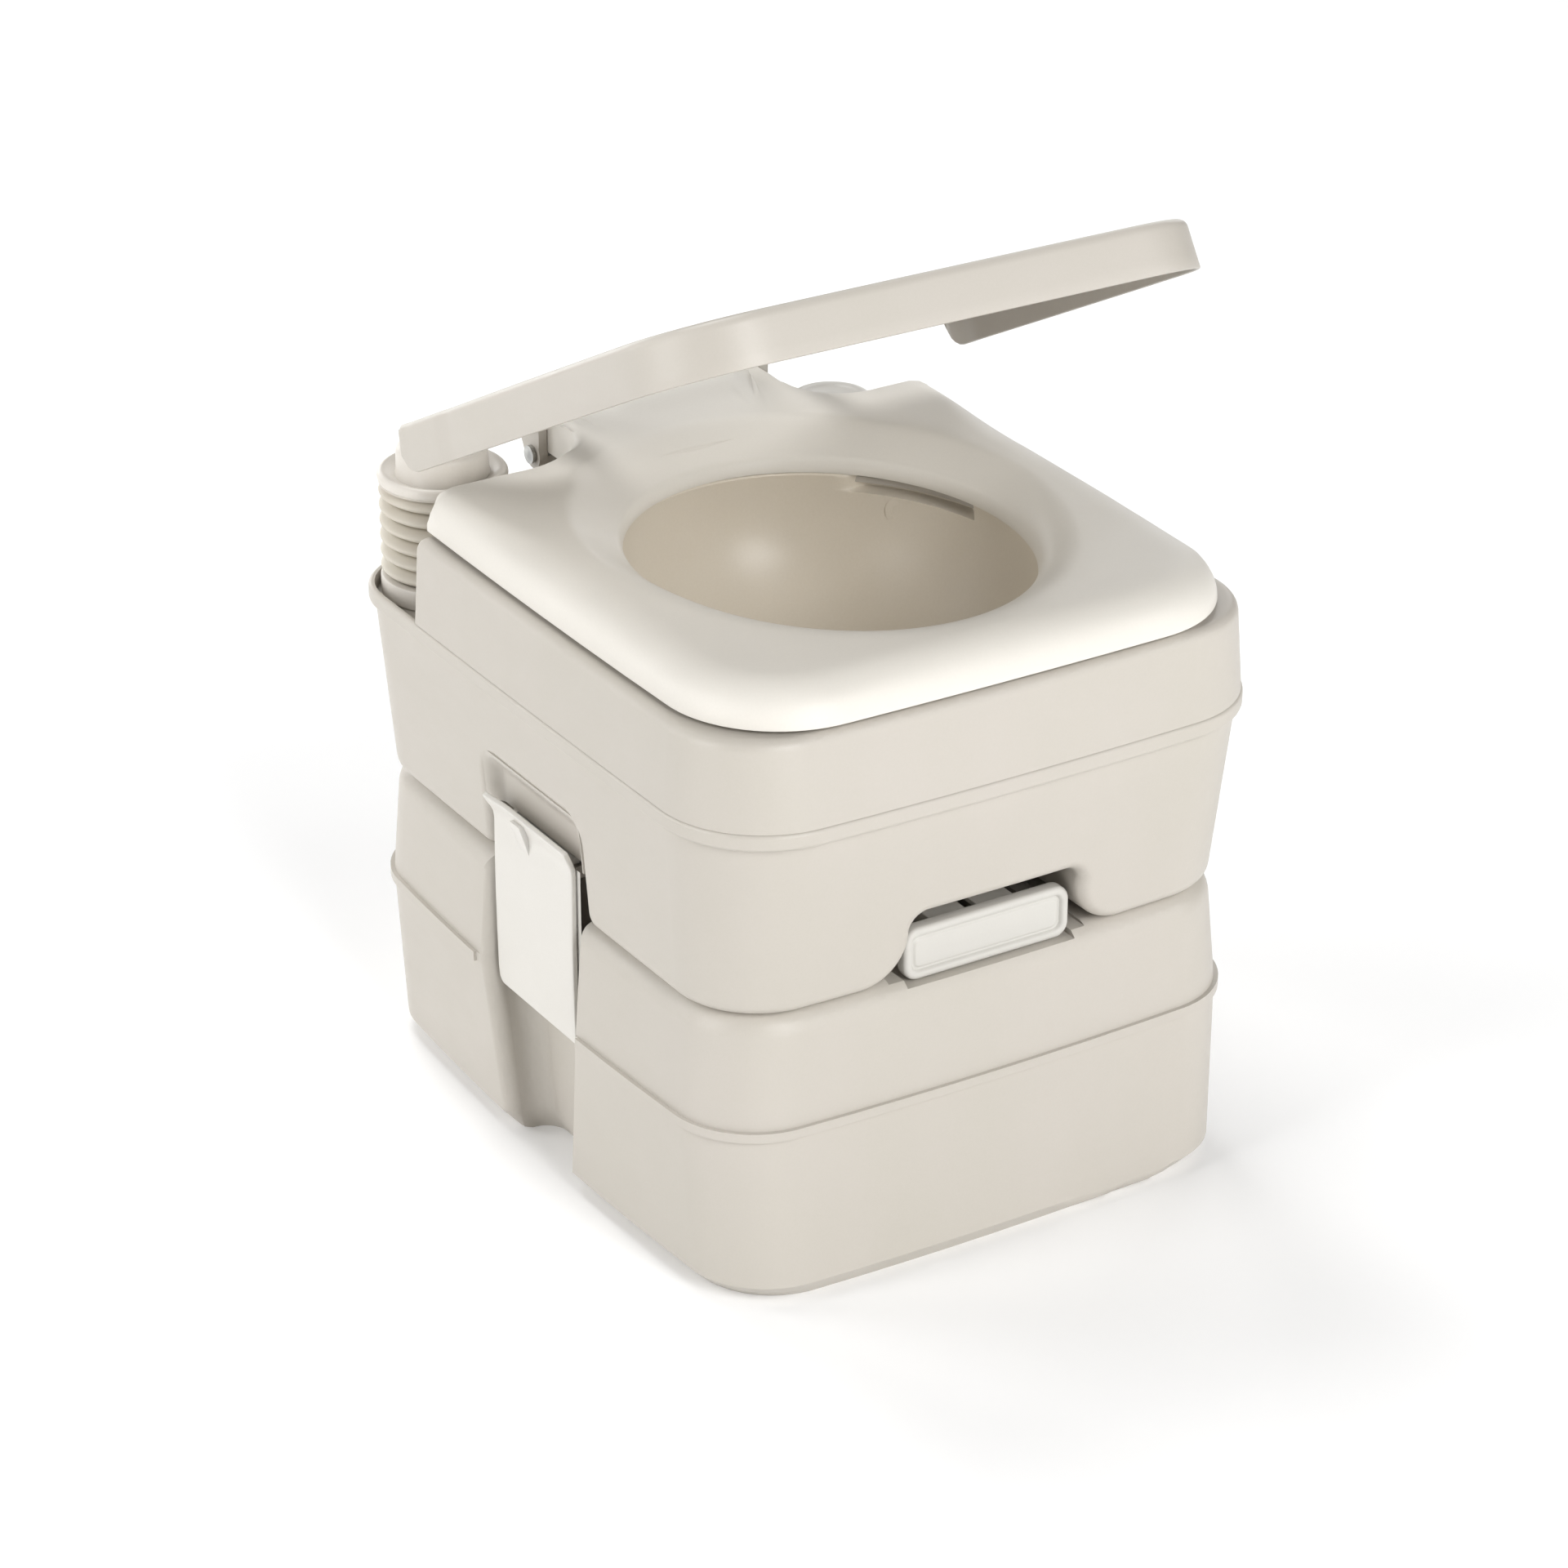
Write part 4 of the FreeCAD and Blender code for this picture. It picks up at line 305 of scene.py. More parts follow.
def moulded(name, pale, deep, roughness, worn=None, grain=0.035, grain_size=0.55, specular=0.4):
    """Moulded plastic: two close tones, fine spark grain, flow marks and faint scuffs.

    With a worn tone, its edges are rubbed.
    """
    finish = Finish(name)
    broad = finish.spread(finish.noise(7, 3.0), 0.35, 0.65)
    flow = finish.spread(finish.noise(22, 2.0, stretch=(1.0, 1.0, 0.35)), 0.4, 0.62)
    specks = finish.spread(finish.noise(900, 1.0), 0.3, 0.7, 0.0, 0.35)
    share = finish.sum_of(finish.sum_of(broad, 0.45, "MULTIPLY"), finish.sum_of(flow, 0.2, "MULTIPLY"))
    share = finish.sum_of(share, specks)
    colour = finish.mixed(share, deep, pale)
    gloss = finish.spread(finish.noise(14, 4.0, 0.65, stretch=(1.0, 1.4, 3.5)), 0.35, 0.7, roughness - 0.04,
                          roughness + 0.06)
    if worn:
        edges = finish.node("ShaderNodeNewGeometry").outputs["Pointiness"]
        ridges = finish.spread(edges, 0.53, 0.62)
        patches = finish.spread(finish.noise(60, 3.0), 0.42, 0.6)
        rubbed = finish.sum_of(ridges, patches, "MULTIPLY")
        colour = finish.mixed(rubbed, colour, worn)
        gloss = finish.sum_of(gloss, finish.sum_of(rubbed, 0.06, "MULTIPLY"), "SUBTRACT")
    finish.link(colour, finish.shader.inputs["Base Color"])
    finish.link(gloss, finish.shader.inputs["Roughness"])
    sag = finish.bump(finish.noise(16, 1.0), 0.03, 0.3)
    grains = finish.bump(finish.noise(1000 / grain_size, 2.0, 0.6), grain, 0.8, sag)
    finish.link(grains, finish.shader.inputs["Normal"])
    finish.shader.inputs["Specular IOR Level"].default_value = specular
    return finish.material


def elastic(name, pale, deep, dust_and_shade, roughness):
    """A soft moulded rubber: matt, with a fold tone and a fine skin; a paler fold tone is dust, a darker one
    is painted shade in the folds.
    """
    finish = Finish(name)
    broad = finish.spread(finish.noise(30, 3.0), 0.35, 0.65)
    colour = finish.mixed(broad, deep, pale)
    # Concave folds take the fold tone: dust on the dark seal, painted shade on the pale bellows.
    folds = finish.spread(finish.node("ShaderNodeNewGeometry").outputs["Pointiness"], 0.49, 0.42)
    colour = finish.mixed(folds, colour, dust_and_shade)
    finish.link(colour, finish.shader.inputs["Base Color"])
    finish.link(finish.spread(finish.noise(80, 3.0), 0.3, 0.7, roughness - 0.06, roughness + 0.08),
                finish.shader.inputs["Roughness"])
    finish.link(finish.bump(finish.noise(1500, 2.0), 0.04, 0.8), finish.shader.inputs["Normal"])
    finish.shader.inputs["Specular IOR Level"].default_value = 0.3
    return finish.material


def plated(name):
    """Zinc-plated steel: fine drawn lines and dull patches."""
    finish = Finish(name)
    colour = finish.mixed(finish.spread(finish.noise(120, 3.0), 0.35, 0.65),
                          tone(150, 150, 148), tone(190, 190, 186))
    finish.link(colour, finish.shader.inputs["Base Color"])
    finish.link(finish.spread(finish.noise(90, 3.0), 0.3, 0.7, 0.24, 0.42), finish.shader.inputs["Roughness"])
    finish.link(finish.bump(finish.noise(700, 2.0, stretch=(0.1, 1.0, 1.0)), 0.03, 0.6),
                finish.shader.inputs["Normal"])
    finish.shader.inputs["Metallic"].default_value = 1.0
    return finish.material


FINISHES = {
    "tank_plastic": moulded("ivory_tank", tone(186, 180, 172), tone(182, 177, 167), 0.40),
    "bowl_plastic": moulded("bowl_ivory", tone(212, 204, 190), tone(206, 197, 181), 0.36),
    "seat_plastic": moulded("seat_ivory", tone(218, 214, 206), tone(214, 210, 202), 0.42, specular=0.32),
    "white_plastic": moulded("white_fittings", tone(209, 206, 200), tone(205, 202, 195), 0.36,
                             tone(215, 213, 209)),
    # The handle's finish is the fittings' white made darker: painted shade for the strong front light on it.
    "handle": moulded("handle_white_shaded", tone(195, 193, 187), tone(192, 189, 183), 0.40, tone(202, 200, 195)),
    "pump_plastic": moulded("pump_ivory", tone(210, 205, 197), tone(205, 199, 190), 0.38),
    # The bellows' darker fold tone is painted shade in its folds.
    "bellows_rubber": elastic("bellows_rubber", tone(201, 196, 184), tone(195, 188, 175),
                              tone(160, 152, 136), 0.55),
    "valve_plastic": moulded("valve_tan", tone(187, 177, 162), tone(177, 168, 151), 0.45,
                             tone(197, 189, 175)),
    "dark_rubber": elastic("seal_rubber", tone(52, 51, 50), tone(38, 37, 37), tone(82, 79, 75), 0.6),
    "steel": plated("plated_steel"),
}


def dress(obj, slot, body=None, stands_for=(), angle=35, finish=None):
    """Give a piece its finish, the body it moves with and the solids it stands for."""
    obj.data.materials.clear()
    obj.data.materials.append(FINISHES[finish or slot])
    smooth(obj, angle)
    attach(obj, body)
    if stands_for:
        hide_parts(*stands_for)
    return obj


def dress_solids():
    """Every solid takes the finish of its slot."""
    for part in frame["record"]["subparts"]:
        solid = frame["nodes"][part["node"]]
        solid.data.materials.clear()
        solid.data.materials.append(FINISHES[part["material_slot"]])


# Outlines read off the solids


def solid_tree(node, turn=0.0):
    """A solid to measure against, turned back about the lid's hinge where asked."""
    mesh = frame["nodes"][node].data
    pivot = Matrix.Translation(at(*HINGE))
    back = pivot @ Matrix.Rotation(math.radians(turn), 4, "X") @ pivot.inverted()
    return BVHTree.FromPolygons([back @ v.co for v in mesh.vertices], [p.vertices for p in mesh.polygons])


def reach(tree, centre, direction, height):
    """How far out a solid goes from an upright axis, at one height."""
    axis = at(*centre, height)
    well_outside = 500 * MM
    spot = tree.ray_cast(axis + direction * well_outside, -direction)[0]
    return (spot - axis).length / MM


def spokes(centre, count, corners):
    """Directions all round a centre, with one through each corner."""
    angles = [2 * math.pi * n / count for n in range(count)]
    for x, y in corners:
        angles.append(math.atan2(y - centre[1], x - centre[0]) % (2 * math.pi))
    return [Vector((math.cos(a), math.sin(a), 0)) for a in sorted(angles)]


def slants(points):
    """How squarely each spoke meets the outline there."""
    count = len(points)
    found = []
    for n, point in enumerate(points):
        along = (points[(n + 1) % count] - points[n - 1]).normalized()
        found.append(Vector((along.y, -along.x, 0)))
    return found


# Seat


def ellipse_reach(direction, start, half_x, half_y, middle):
    """From a start inside an ellipse out to it."""
    x, y = start[0] - middle[0], start[1] - middle[1]
    a = (direction.x / half_x) ** 2 + (direction.y / half_y) ** 2
    b = 2 * (x * direction.x / half_x ** 2 + y * direction.y / half_y ** 2)
    c = (x / half_x) ** 2 + (y / half_y) ** 2 - 1
    return (-b + math.sqrt(b * b - 4 * a * c)) / (2 * a)


def make_seat():
    """The seat ring: a wide rolled edge, a soft crest round the opening and a hinge tab at the back."""
    centre_y = -28.0
    edge, drop = 24.0, 20.0
    back_edge, front_fall, tab_rise = 111.6, 2.0, 6.5
    roof, hollow_back = 329.5, 102.0
    tree = solid_tree("seat")
    corners = ((-154.2, 111.98), (-153.5, 112.02), (154.2, 111.98), (153.5, 112.02), (-96, 112), (-50, 158),
               (-50, 175.8), (-40.2, 163.9), (71.2, 163.9), (81, 175.8), (81, 146), (115, 112))
    rays = spokes((0, centre_y), 248, corners)
    far = [reach(tree, (0, centre_y), ray, SEAT_LOW + 1.0) for ray in rays]
    outline = [Vector((0, centre_y, 0)) + ray * d for ray, d in zip(rays, far)]
    outward = slants(outline)
    behind = [p.y > back_edge for p in outline]
    sides = [p for p, rear in zip(outline, behind) if not rear]
    rears = [p for p, rear in zip(outline, behind) if rear]

    def nearest(points, spot):
        return min((spot - p).length for p in points)

    def level(spot):
        """The seat's top falls a little to the front and rises on the hinge tab."""
        tab = ease(-44, -10, spot.x) * ease(72, 53, spot.x) * ease(132, 163, spot.y)
        return SEAT_TOP - front_fall * ease(0, -185, spot.y) + tab_rise * tab

    def top(spot):
        """Height of the seat's top outside the crest; its rolled edge narrows towards the back."""
        roll = edge - 11 * ease(20, 100, spot.y)
        inset = min(nearest(sides, spot), roll)
        height = SEAT_LOW + (level(spot) - SEAT_LOW) * math.sqrt(max(0.0, 1 - (1 - inset / roll) ** 2))
        radius = 3.0 + 5.0 * ease(-85, -60, spot.x) * ease(-20, -45, spot.x) * ease(116, 128, spot.y)
        inset = min(nearest(rears, spot), radius)
        return max(SEAT_LOW, height - radius + math.sqrt(max(0.0, radius ** 2 - (radius - inset) ** 2)))

    def ring(place):
        return [at(*place(n)) for n in range(len(rays))]

    def inward(n, inset):
        lean = max(0.45, outward[n].dot(rays[n]))
        room = (outline[n] - crest(n, 1.0)).length * 0.9 * inset / edge
        return outline[n] - rays[n] * min(inset / lean, room)

    def crest(n, share):
        """A point on the funnel: share 1 is its crest and 0 the edge of the opening."""
        return Vector((0, centre_y, 0)) + rays[n] * ellipse_reach(
            rays[n], (0, centre_y), 100 + 24 * share, 115 + 32 * share, (2.5 - 2.5 * share, -26 + 4 * share))

    def slope(inset):
        """A funnel wall that is straight between a small roll at its crest and one at its edge."""
        steepness, crest_end, edge_start, edge_drop = 0.795, 0.24, 0.9, 0.38
        if inset < crest_end:
            return steepness * inset * inset / (2 * crest_end)
        if inset < edge_start:
            return steepness * (inset - crest_end / 2)
        return 1 - edge_drop * math.sqrt(max(0.0, 1 - ((inset - edge_start) / 0.1) ** 2))

    rings = [ring(lambda n: (*outline[n].xy, SEAT_LOW))]
    roll_steps, flat_steps, funnel_steps = 9, 4, 16
    for step in range(roll_steps + 1):
        inset = edge * (1 - math.cos(math.pi / 2 * step / roll_steps))

        def rolled(n):
            spot = inward(n, inset)
            return (*spot.xy, top(spot))

        rings.append(ring(rolled))
    for step in range(1, flat_steps + 1):

        def flat(n):
            spot = inward(n, edge).lerp(crest(n, 1.0), step / flat_steps)
            return (*spot.xy, top(spot) if step < flat_steps else level(spot))

        rings.append(ring(flat))
    for step in range(1, funnel_steps + 1):
        angle = math.pi / 2 * step / funnel_steps

        def rolled_in(n):
            start = level(crest(n, 1.0))
            inset = math.sin(angle)
            spot = crest(n, 1 - inset)
            steep = ease(-70, 40, crest(n, 1.0).y)
            fall = (1 - math.cos(angle)) * (1 - steep) + slope(inset) * steep
            return (*spot.xy, start - (start - SEAT_TOP + drop) * fall)

        rings.append(ring(rolled_in))
    lip = SEAT_LOW + 0.2
    for out, height in ((0.5, lip), (3.6, lip), (4.2, lip + 4)):
        rings.append(ring(lambda n: (*(crest(n, 0) + rays[n] * out).xy, height)))

    def hollow(n, share):
        inner = crest(n, 0.5)
        outer = inward(n, 15.0)
        limit = (hollow_back - inner.y) / max(1e-6, outer.y - inner.y) if outer.y > hollow_back else 1.0
        return inner.lerp(outer, share * limit)

    for share, height in ((0.0, roof - 1), (0.5, roof), (1.0, roof - 2)):
        rings.append(ring(lambda n: (*hollow(n, share).xy, height)))

    def foot(n):
        spot = inward(n, 5.0)
        if spot.y > hollow_back + 2 and behind[n]:
            spot = hollow(n, 1.0) + rays[n] * 1.5
        return (*spot.xy, SEAT_LOW)

    rings.append(ring(foot))
    rings.append(rings[0])
    seat = drawn("seat_ring", rings)
    bosses = [turned("seat_boss", (x, y), [(0, roof), (9, roof), (9, 319), (8, 318.2), (0, 318.2)], 40)
              for x in (-130, 130) for y in (-95, 62)]
    knuckles = cad_copy("seat", "seat_knuckles", at(0, 175.9, 0), (0, 1, 0))
    join(seat, *bosses, knuckles)
    dress(seat, "seat_plastic", "seat", ["seat"], 32)


# Lid


def make_lid():
    """A shallow tray, open at the back, with lugs to the hinge pins."""
    centre = (0.0, -42.0)
    low, under, high = 312.8, 336.3, 338.6
    wall, rounding, end, draft = 3.0, 5.0, 15.0, 1.2
    read_at, pace = low + 17.5, 0.05
    tree = solid_tree("lid", LID_ANGLE)
    short, long = 90.0, 114.0
    corners = ((-160, 113.9), (-156.8, 114), (159.9, 89.9), (156.8, 90), (-159.8, 106), (159.8, 84),
               (-160, 100), (160, 76))
    rays = spokes(centre, 232, corners)
    half = reach(tree, centre, Vector((-1, 0, 0)), read_at)

    def back(x):
        """The lid's back edge, which is drawn forward except beside the pump."""
        return long + (short - long) * ease(-130, -95, x)

    outline = []
    for ray in rays:
        d = reach(tree, centre, ray, read_at)
        if abs(ray.x * d) < 156.5 and centre[1] + ray.y * d > short - 8:
            while centre[1] + ray.y * d < back(ray.x * d):
                d += pace
        while centre[1] + ray.y * d > back(ray.x * d) + 0.01:
            d -= pace
        if abs(ray.x) * d > 150 and centre[1] + ray.y * d > 60:
            d = min(half / abs(ray.x), (back(math.copysign(half, ray.x)) - centre[1]) / ray.y)
        outline.append(Vector((*centre, 0)) + ray * d)
    outward = slants(outline)
    rear = [p.y > back(p.x) - 0.6 and abs(p.x) < 157.5 for p in outline]

    def foot(n):
        """Height of the rim's lower edge, which turns up at its rear ends."""
        if rear[n]:
            return under
        past = outline[n].y - (back(outline[n].x) - end)
        return low if past <= 0 else low + end - math.sqrt(max(0.0, end ** 2 - min(past, end) ** 2))

    def inward(n, inset):
        lean = max(0.5, outward[n].dot(rays[n]))
        return outline[n] - rays[n] * (inset / lean)

    def ring(place):
        return [at(*place(n)) for n in range(len(rays))]

    def crown(spot):
        """The lid's top is highest in its middle."""
        share = min(1.0, math.hypot(spot.x / 160, (spot.y - centre[1]) / 157))
        return 1 - share * share

    def to_middle(n, share, inset):
        return inward(n, inset).lerp(Vector((*centre, 0)), share)

    def hung(n, share):
        bottom = foot(n)
        return bottom + (high - rounding - bottom) * share if not rear[n] else under + 0.1 + 0.3 * share

    rings = [ring(lambda n: (*inward(n, 0.9).xy, foot(n)))]
    rings.append(ring(lambda n: (*inward(n, 0.2).xy, foot(n) + 0.25)))
    rings.append(ring(lambda n: (*inward(n, 0.0).xy, min(foot(n) + 0.9, high - 2.0))))
    for share in (0.33, 0.66, 1.0):
        rings.append(ring(lambda n: (*inward(n, draft * share).xy, hung(n, share))))
    for step in range(1, 7):
        angle = math.pi / 2 * step / 6

        def rolled(n):
            if rear[n]:
                return (*inward(n, draft + 1 - math.cos(angle)).xy,
                        under + 0.4 + (high - under - 0.4) * math.sin(angle))
            return (*inward(n, draft + rounding * (1 - math.cos(angle))).xy,
                    high - rounding + rounding * math.sin(angle))

        rings.append(ring(rolled))
    for share in (0.05, 0.2, 0.4, 0.6, 0.8, 1.0):

        def plate(n):
            spot = to_middle(n, share, draft + rounding)
            return (*spot.xy, high + crown(spot) * ease(0, 0.5, share))

        rings.append(ring(plate))
    rings.append(ring(lambda n: (*centre, under)))
    for share in (0.8, 0.6, 0.4, 0.2, 0.06):
        rings.append(ring(lambda n: (*to_middle(n, share, wall + 3.5).xy, under)))
    for step in range(5):
        angle = math.pi / 2 * step / 4

        def cove(n):
            if rear[n]:
                return (*inward(n, wall).xy, under)
            return (*inward(n, wall + 2.6 * (1 - math.sin(angle))).xy, under - 3.0 * (1 - math.cos(angle)))

        rings.append(ring(cove))
    rings.append(ring(lambda n: (*inward(n, wall - 0.3).xy, max(foot(n) + 0.5, low))))
    rings.append(ring(lambda n: (*inward(n, wall - 0.9).xy, foot(n))))
    rings.append(rings[0])
    lid = drawn("lid_tray", rings, 0.005)
    swing(lid, -LID_ANGLE)
    turn = Matrix.Rotation(math.radians(-LID_ANGLE), 4, "X")
    pivot = at(*HINGE)
    cut = pivot + turn @ (at(0, 112.6, 326) - pivot)
    lugs = cad_copy("lid", "lid_lugs", cut, turn @ Vector((0, 1, 0)))
    strip_top = 341.2
    strips = [swing(block("lid_strip", (x_low, short - 4, under), (x_high, long, strip_top), 0.8), -LID_ANGLE)
              for x_low, x_high in ((-70.4, -50.4), (81.4, 94.4))]
    join(lid, lugs, *strips)
    dress(lid, "tank_plastic", "lid", ["lid"], 35)


# Pump


def make_pump():
    """The bellows, its collar and the dished cap with its knob."""
    radius, valley, wall = 34.0, 28.5, 1.8
    low, high, ribs = 270.0, 320.5, 6
    pitch = (high - low) / ribs
    skin = []
    rib_steps, fullness = 12, 0.55
    for rib in range(ribs):
        for step in range(rib_steps):
            angle = 2 * math.pi * step / rib_steps
            swell = (0.5 - 0.5 * math.cos(angle)) ** fullness
            skin.append((valley + (radius - valley - 0.3) * swell, low + pitch * (rib + step / rib_steps)))
    skin.append((valley, high))
    inside = [(r - wall, z) for r, z in reversed(skin)]
    bellows = turned("bellows", PUMP, skin + inside + skin[:1], 96)
    dress(bellows, "bellows_rubber", "tanks", ["pump_bellows"], 60)
    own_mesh(bellows)

    collar = turned("pump_collar_cup", PUMP, [
        (0, 258.6), (33.2, 258.6), (34, 259.4), (34, 268.4), (33.5, 269.6), (32.4, 270), (28.2, 270),
        (27, 269), (27, 261.6), (0, 261.6)], 96)
    dress(collar, "pump_plastic", "tanks", ["pump_collar"], 40)

    profile = [(0, high), (32.4, high), (33.6, high + 0.5)]
    for step in range(9):
        angle = -math.pi / 2 * 0.6 + math.pi * 0.8 * step / 8
        profile.append((31.0 + 3.2 * math.cos(angle), high + 3.6 + 3.2 * math.sin(angle)))
    profile += [(28.6, high + 5.9), (26.6, high + 4.9), (25.0, high + 4.3), (24.3, high + 5.2)]
    for step in range(8):
        angle = math.pi / 2 * step / 7
        profile.append((20.6 + 3.4 * math.cos(angle), high + 16.0 + 4.0 * math.sin(angle)))
    profile += [(16, high + 19.9), (10, high + 19.2), (5, high + 18.7), (0, high + 18.6)]
    cap = turned("pump_knob", PUMP, profile, 96)
    dress(cap, "pump_plastic", "pump_button", ["pump_cap"], 50)


# Valve handle


def make_handle():
    """A pull with a raised round rim, a groove and a sunk panel, on the valve's flat stem."""
    half_x, half_z, corner = 48.6, 14.3, 8.0
    middle = 170.2
    front, back, roll = -178.0, -170.0, 2.4

    def ring(inset, y, radius):
        return [at(x, y, middle + z) for x, z in rounded_box(half_x - inset, half_z - inset, radius, 10)]

    rings = [ring(half_z - 0.01, back, 0.005), ring(1.2, back, corner - 1.2),
             ring(0.3, back - 0.4, corner - 0.3), ring(0.0, back - 1.3, corner)]
    for step in range(8):
        angle = math.pi / 2 * step / 7
        inset = roll * (1 - math.cos(angle))
        rings.append(ring(inset, front + roll - roll * math.sin(angle), corner - inset))
    for inset, depth, radius in ((3.4, 0.05, 4.9), (4.2, 0.5, 4.4), (4.7, 1.4, 4.2), (5.0, 2.0, 4.1),
                                 (5.6, 2.2, 3.9), (6.2, 2.0, 3.7), (6.6, 1.45, 3.5), (7.2, 1.3, 3.3),
                                 (10.0, 1.25, 2.4), (half_z - 0.01, 1.2, 0.005)):
        rings.append(ring(inset, front + depth, radius))
    pull = drawn("handle_pull", rings)
    stem = cad_copy("valve_handle", "handle_stem", at(0, back + 0.2, 0), (0, 1, 0))
    far, deck, half, slot = -142.0, 179.0, 25.0, 3.3
    rails = [block("stem_rail", (x_low, back - 0.5, deck - 3), (x_high, far, deck), 0.5)
             for x_low, x_high in ((-half, -slot), (slot, half))]
    bridge = block("stem_bridge", (-slot - 0.4, back - 0.5, deck - 3), (slot + 0.4, back + 5, deck), 0.4)
    sides = [block("stem_side", (x - 1.2, back - 0.5, 162.5), (x + 1.2, far, deck - 2.6))
             for x in (-20.5, 20.5)]
    join(pull, stem, bridge, *rails, *sides)
    # The pull takes the handle finish, whose darker white is painted shade.
    dress(pull, "white_plastic", "valve", ["valve_handle"], 40, "handle")


# Latches


def face_out(sheet, side):
    """Turn a thin sheet's faces to its own side of the object."""
    if sum(p.normal.x * side for p in sheet.data.polygons) < 0:
        sheet.data.flip_normals()


def make_latch(side):
    """A thin bowed plate with a flared lip, a gusset behind the lip and its knuckle and hook inside."""
    word = "left" if side < 0 else "right"
    node = "latch_" + word
    rows = [87, 88, 90, 96, 106, 120, 136, 152, 166, 176, 182, 186, 189, 192, 194.5, 196.5]
    columns = 25

    def outer(y, z):
        """How far out the plate's face stands."""
        bow = 1.2 * math.sin(math.pi * min(max((z - 87) / 105, 0), 1))
        flare = 5.4 * ease(183, 200, z) * (1.0 + 0.4 * ease(20, 42, y))
        return 156.6 + bow * (1 - (y / 60) ** 2) + flare

    def limits(z):
        """The plate's side edges at one height."""
        rear, fore = 42.0, -39.0
        if z < 93:
            rear = 36 + math.sqrt(max(0.0, 36 - (93 - z) ** 2))
        if z < 89:
            fore = -37.5 - 1.5 * math.sqrt(max(0.0, 1 - ((89 - z) / 2) ** 2))
        return fore, rear

    put_down()
    bpy.ops.mesh.primitive_grid_add(x_subdivisions=columns - 1, y_subdivisions=len(rows) - 1, size=2)
    plate = bpy.context.object
    plate.name = node + "_plate"
    for vert in plate.data.vertices:
        row = round((vert.co.y + 1) / 2 * (len(rows) - 1))
        share = (vert.co.x + 1) / 2
        z = rows[row]
        fore, rear = limits(z)
        y = fore + (rear - fore) * share
        vert.co = at(side * outer(y, z), y, z)
    bpy.ops.object.mode_set(mode="EDIT")
    close_up(plate)
    face_out(plate, side)
    apply_modifier(plate, "SOLIDIFY", thickness=3.0 * MM, offset=-1.0, use_even_offset=True)
    soften(plate, 0.7, 3, 50)
    inner = cad_copy(node, node + "_works", at(side * 153.45, 0, 0), (-side, 0, 0))
    gusset = block(node + "_gusset", (side * 157.0, 4.5, 176), (side * 162.5, 14.5, 193))
    pick_up(gusset)
    bpy.ops.object.mode_set(mode="EDIT")
    mesh = bmesh.from_edit_mesh(gusset.data)
    for vert in mesh.verts:
        if vert.co.x * side > 160 * MM and vert.co.z < 180 * MM:
            vert.co.x = side * 157.2 * MM
    bmesh.update_edit_mesh(gusset.data)
    close_up(gusset)
    soften(gusset, 0.5, 2, 30)
    join(plate, inner, gusset)
    dress(plate, "white_plastic", node, [node], 40)


# Fill cap


def fluted_cap(name, radius, bore, low, inside, high, grips, centre):
    """A screw cap with grip flutes, a rounded shoulder and a shallow dish in its top."""
    count = grips * 8
    x, y = centre

    def ring(r, z, depth):
        points = []
        for n in range(count):
            angle = 2 * math.pi * n / count
            wave = 0.5 + 0.5 * math.cos(angle * grips)
            rr = r - depth * wave ** 3
            points.append(at(x + rr * math.cos(angle), y + rr * math.sin(angle), z))
        return points

    flute = 0.9
    rings = [ring(0.01, inside, 0), ring(bore, inside, 0), ring(bore, low, 0), ring(radius - 0.8, low, 0),
             ring(radius, low + 0.6, 0), ring(radius, low + 1.8, 0), ring(radius, low + 2.8, flute),
             ring(radius - 0.1, (low + high) / 2, flute), ring(radius - 0.3, high - 4.2, flute),
             ring(radius - 0.4, high - 3.0, 0.15)]
    shoulder = 2.4
    for step in range(1, 7):
        angle = math.pi / 2 * step / 6
        rings.append(ring(radius - 0.4 - shoulder * (1 - math.cos(angle)),
                          high - shoulder + shoulder * math.sin(angle), 0))
    rings += [ring(radius - 5.5, high, 0), ring(radius - 6.5, high - 0.3, 0),
              ring(radius - 7.5, high - 0.8, 0), ring(radius * 0.4, high - 1.0, 0), ring(0.01, high - 1.0, 0)]
    return drawn(name, rings, 0.03)


def make_fill_cap():
    fill = fluted_cap("fill_cap_grip", radius=22.5, bore=18.4, low=292.0, inside=308.0, high=315.5, grips=24,
                      centre=FILLER)
    dress(fill, "white_plastic", "fill_cap", ["fill_cap"], 40)


# Bowl


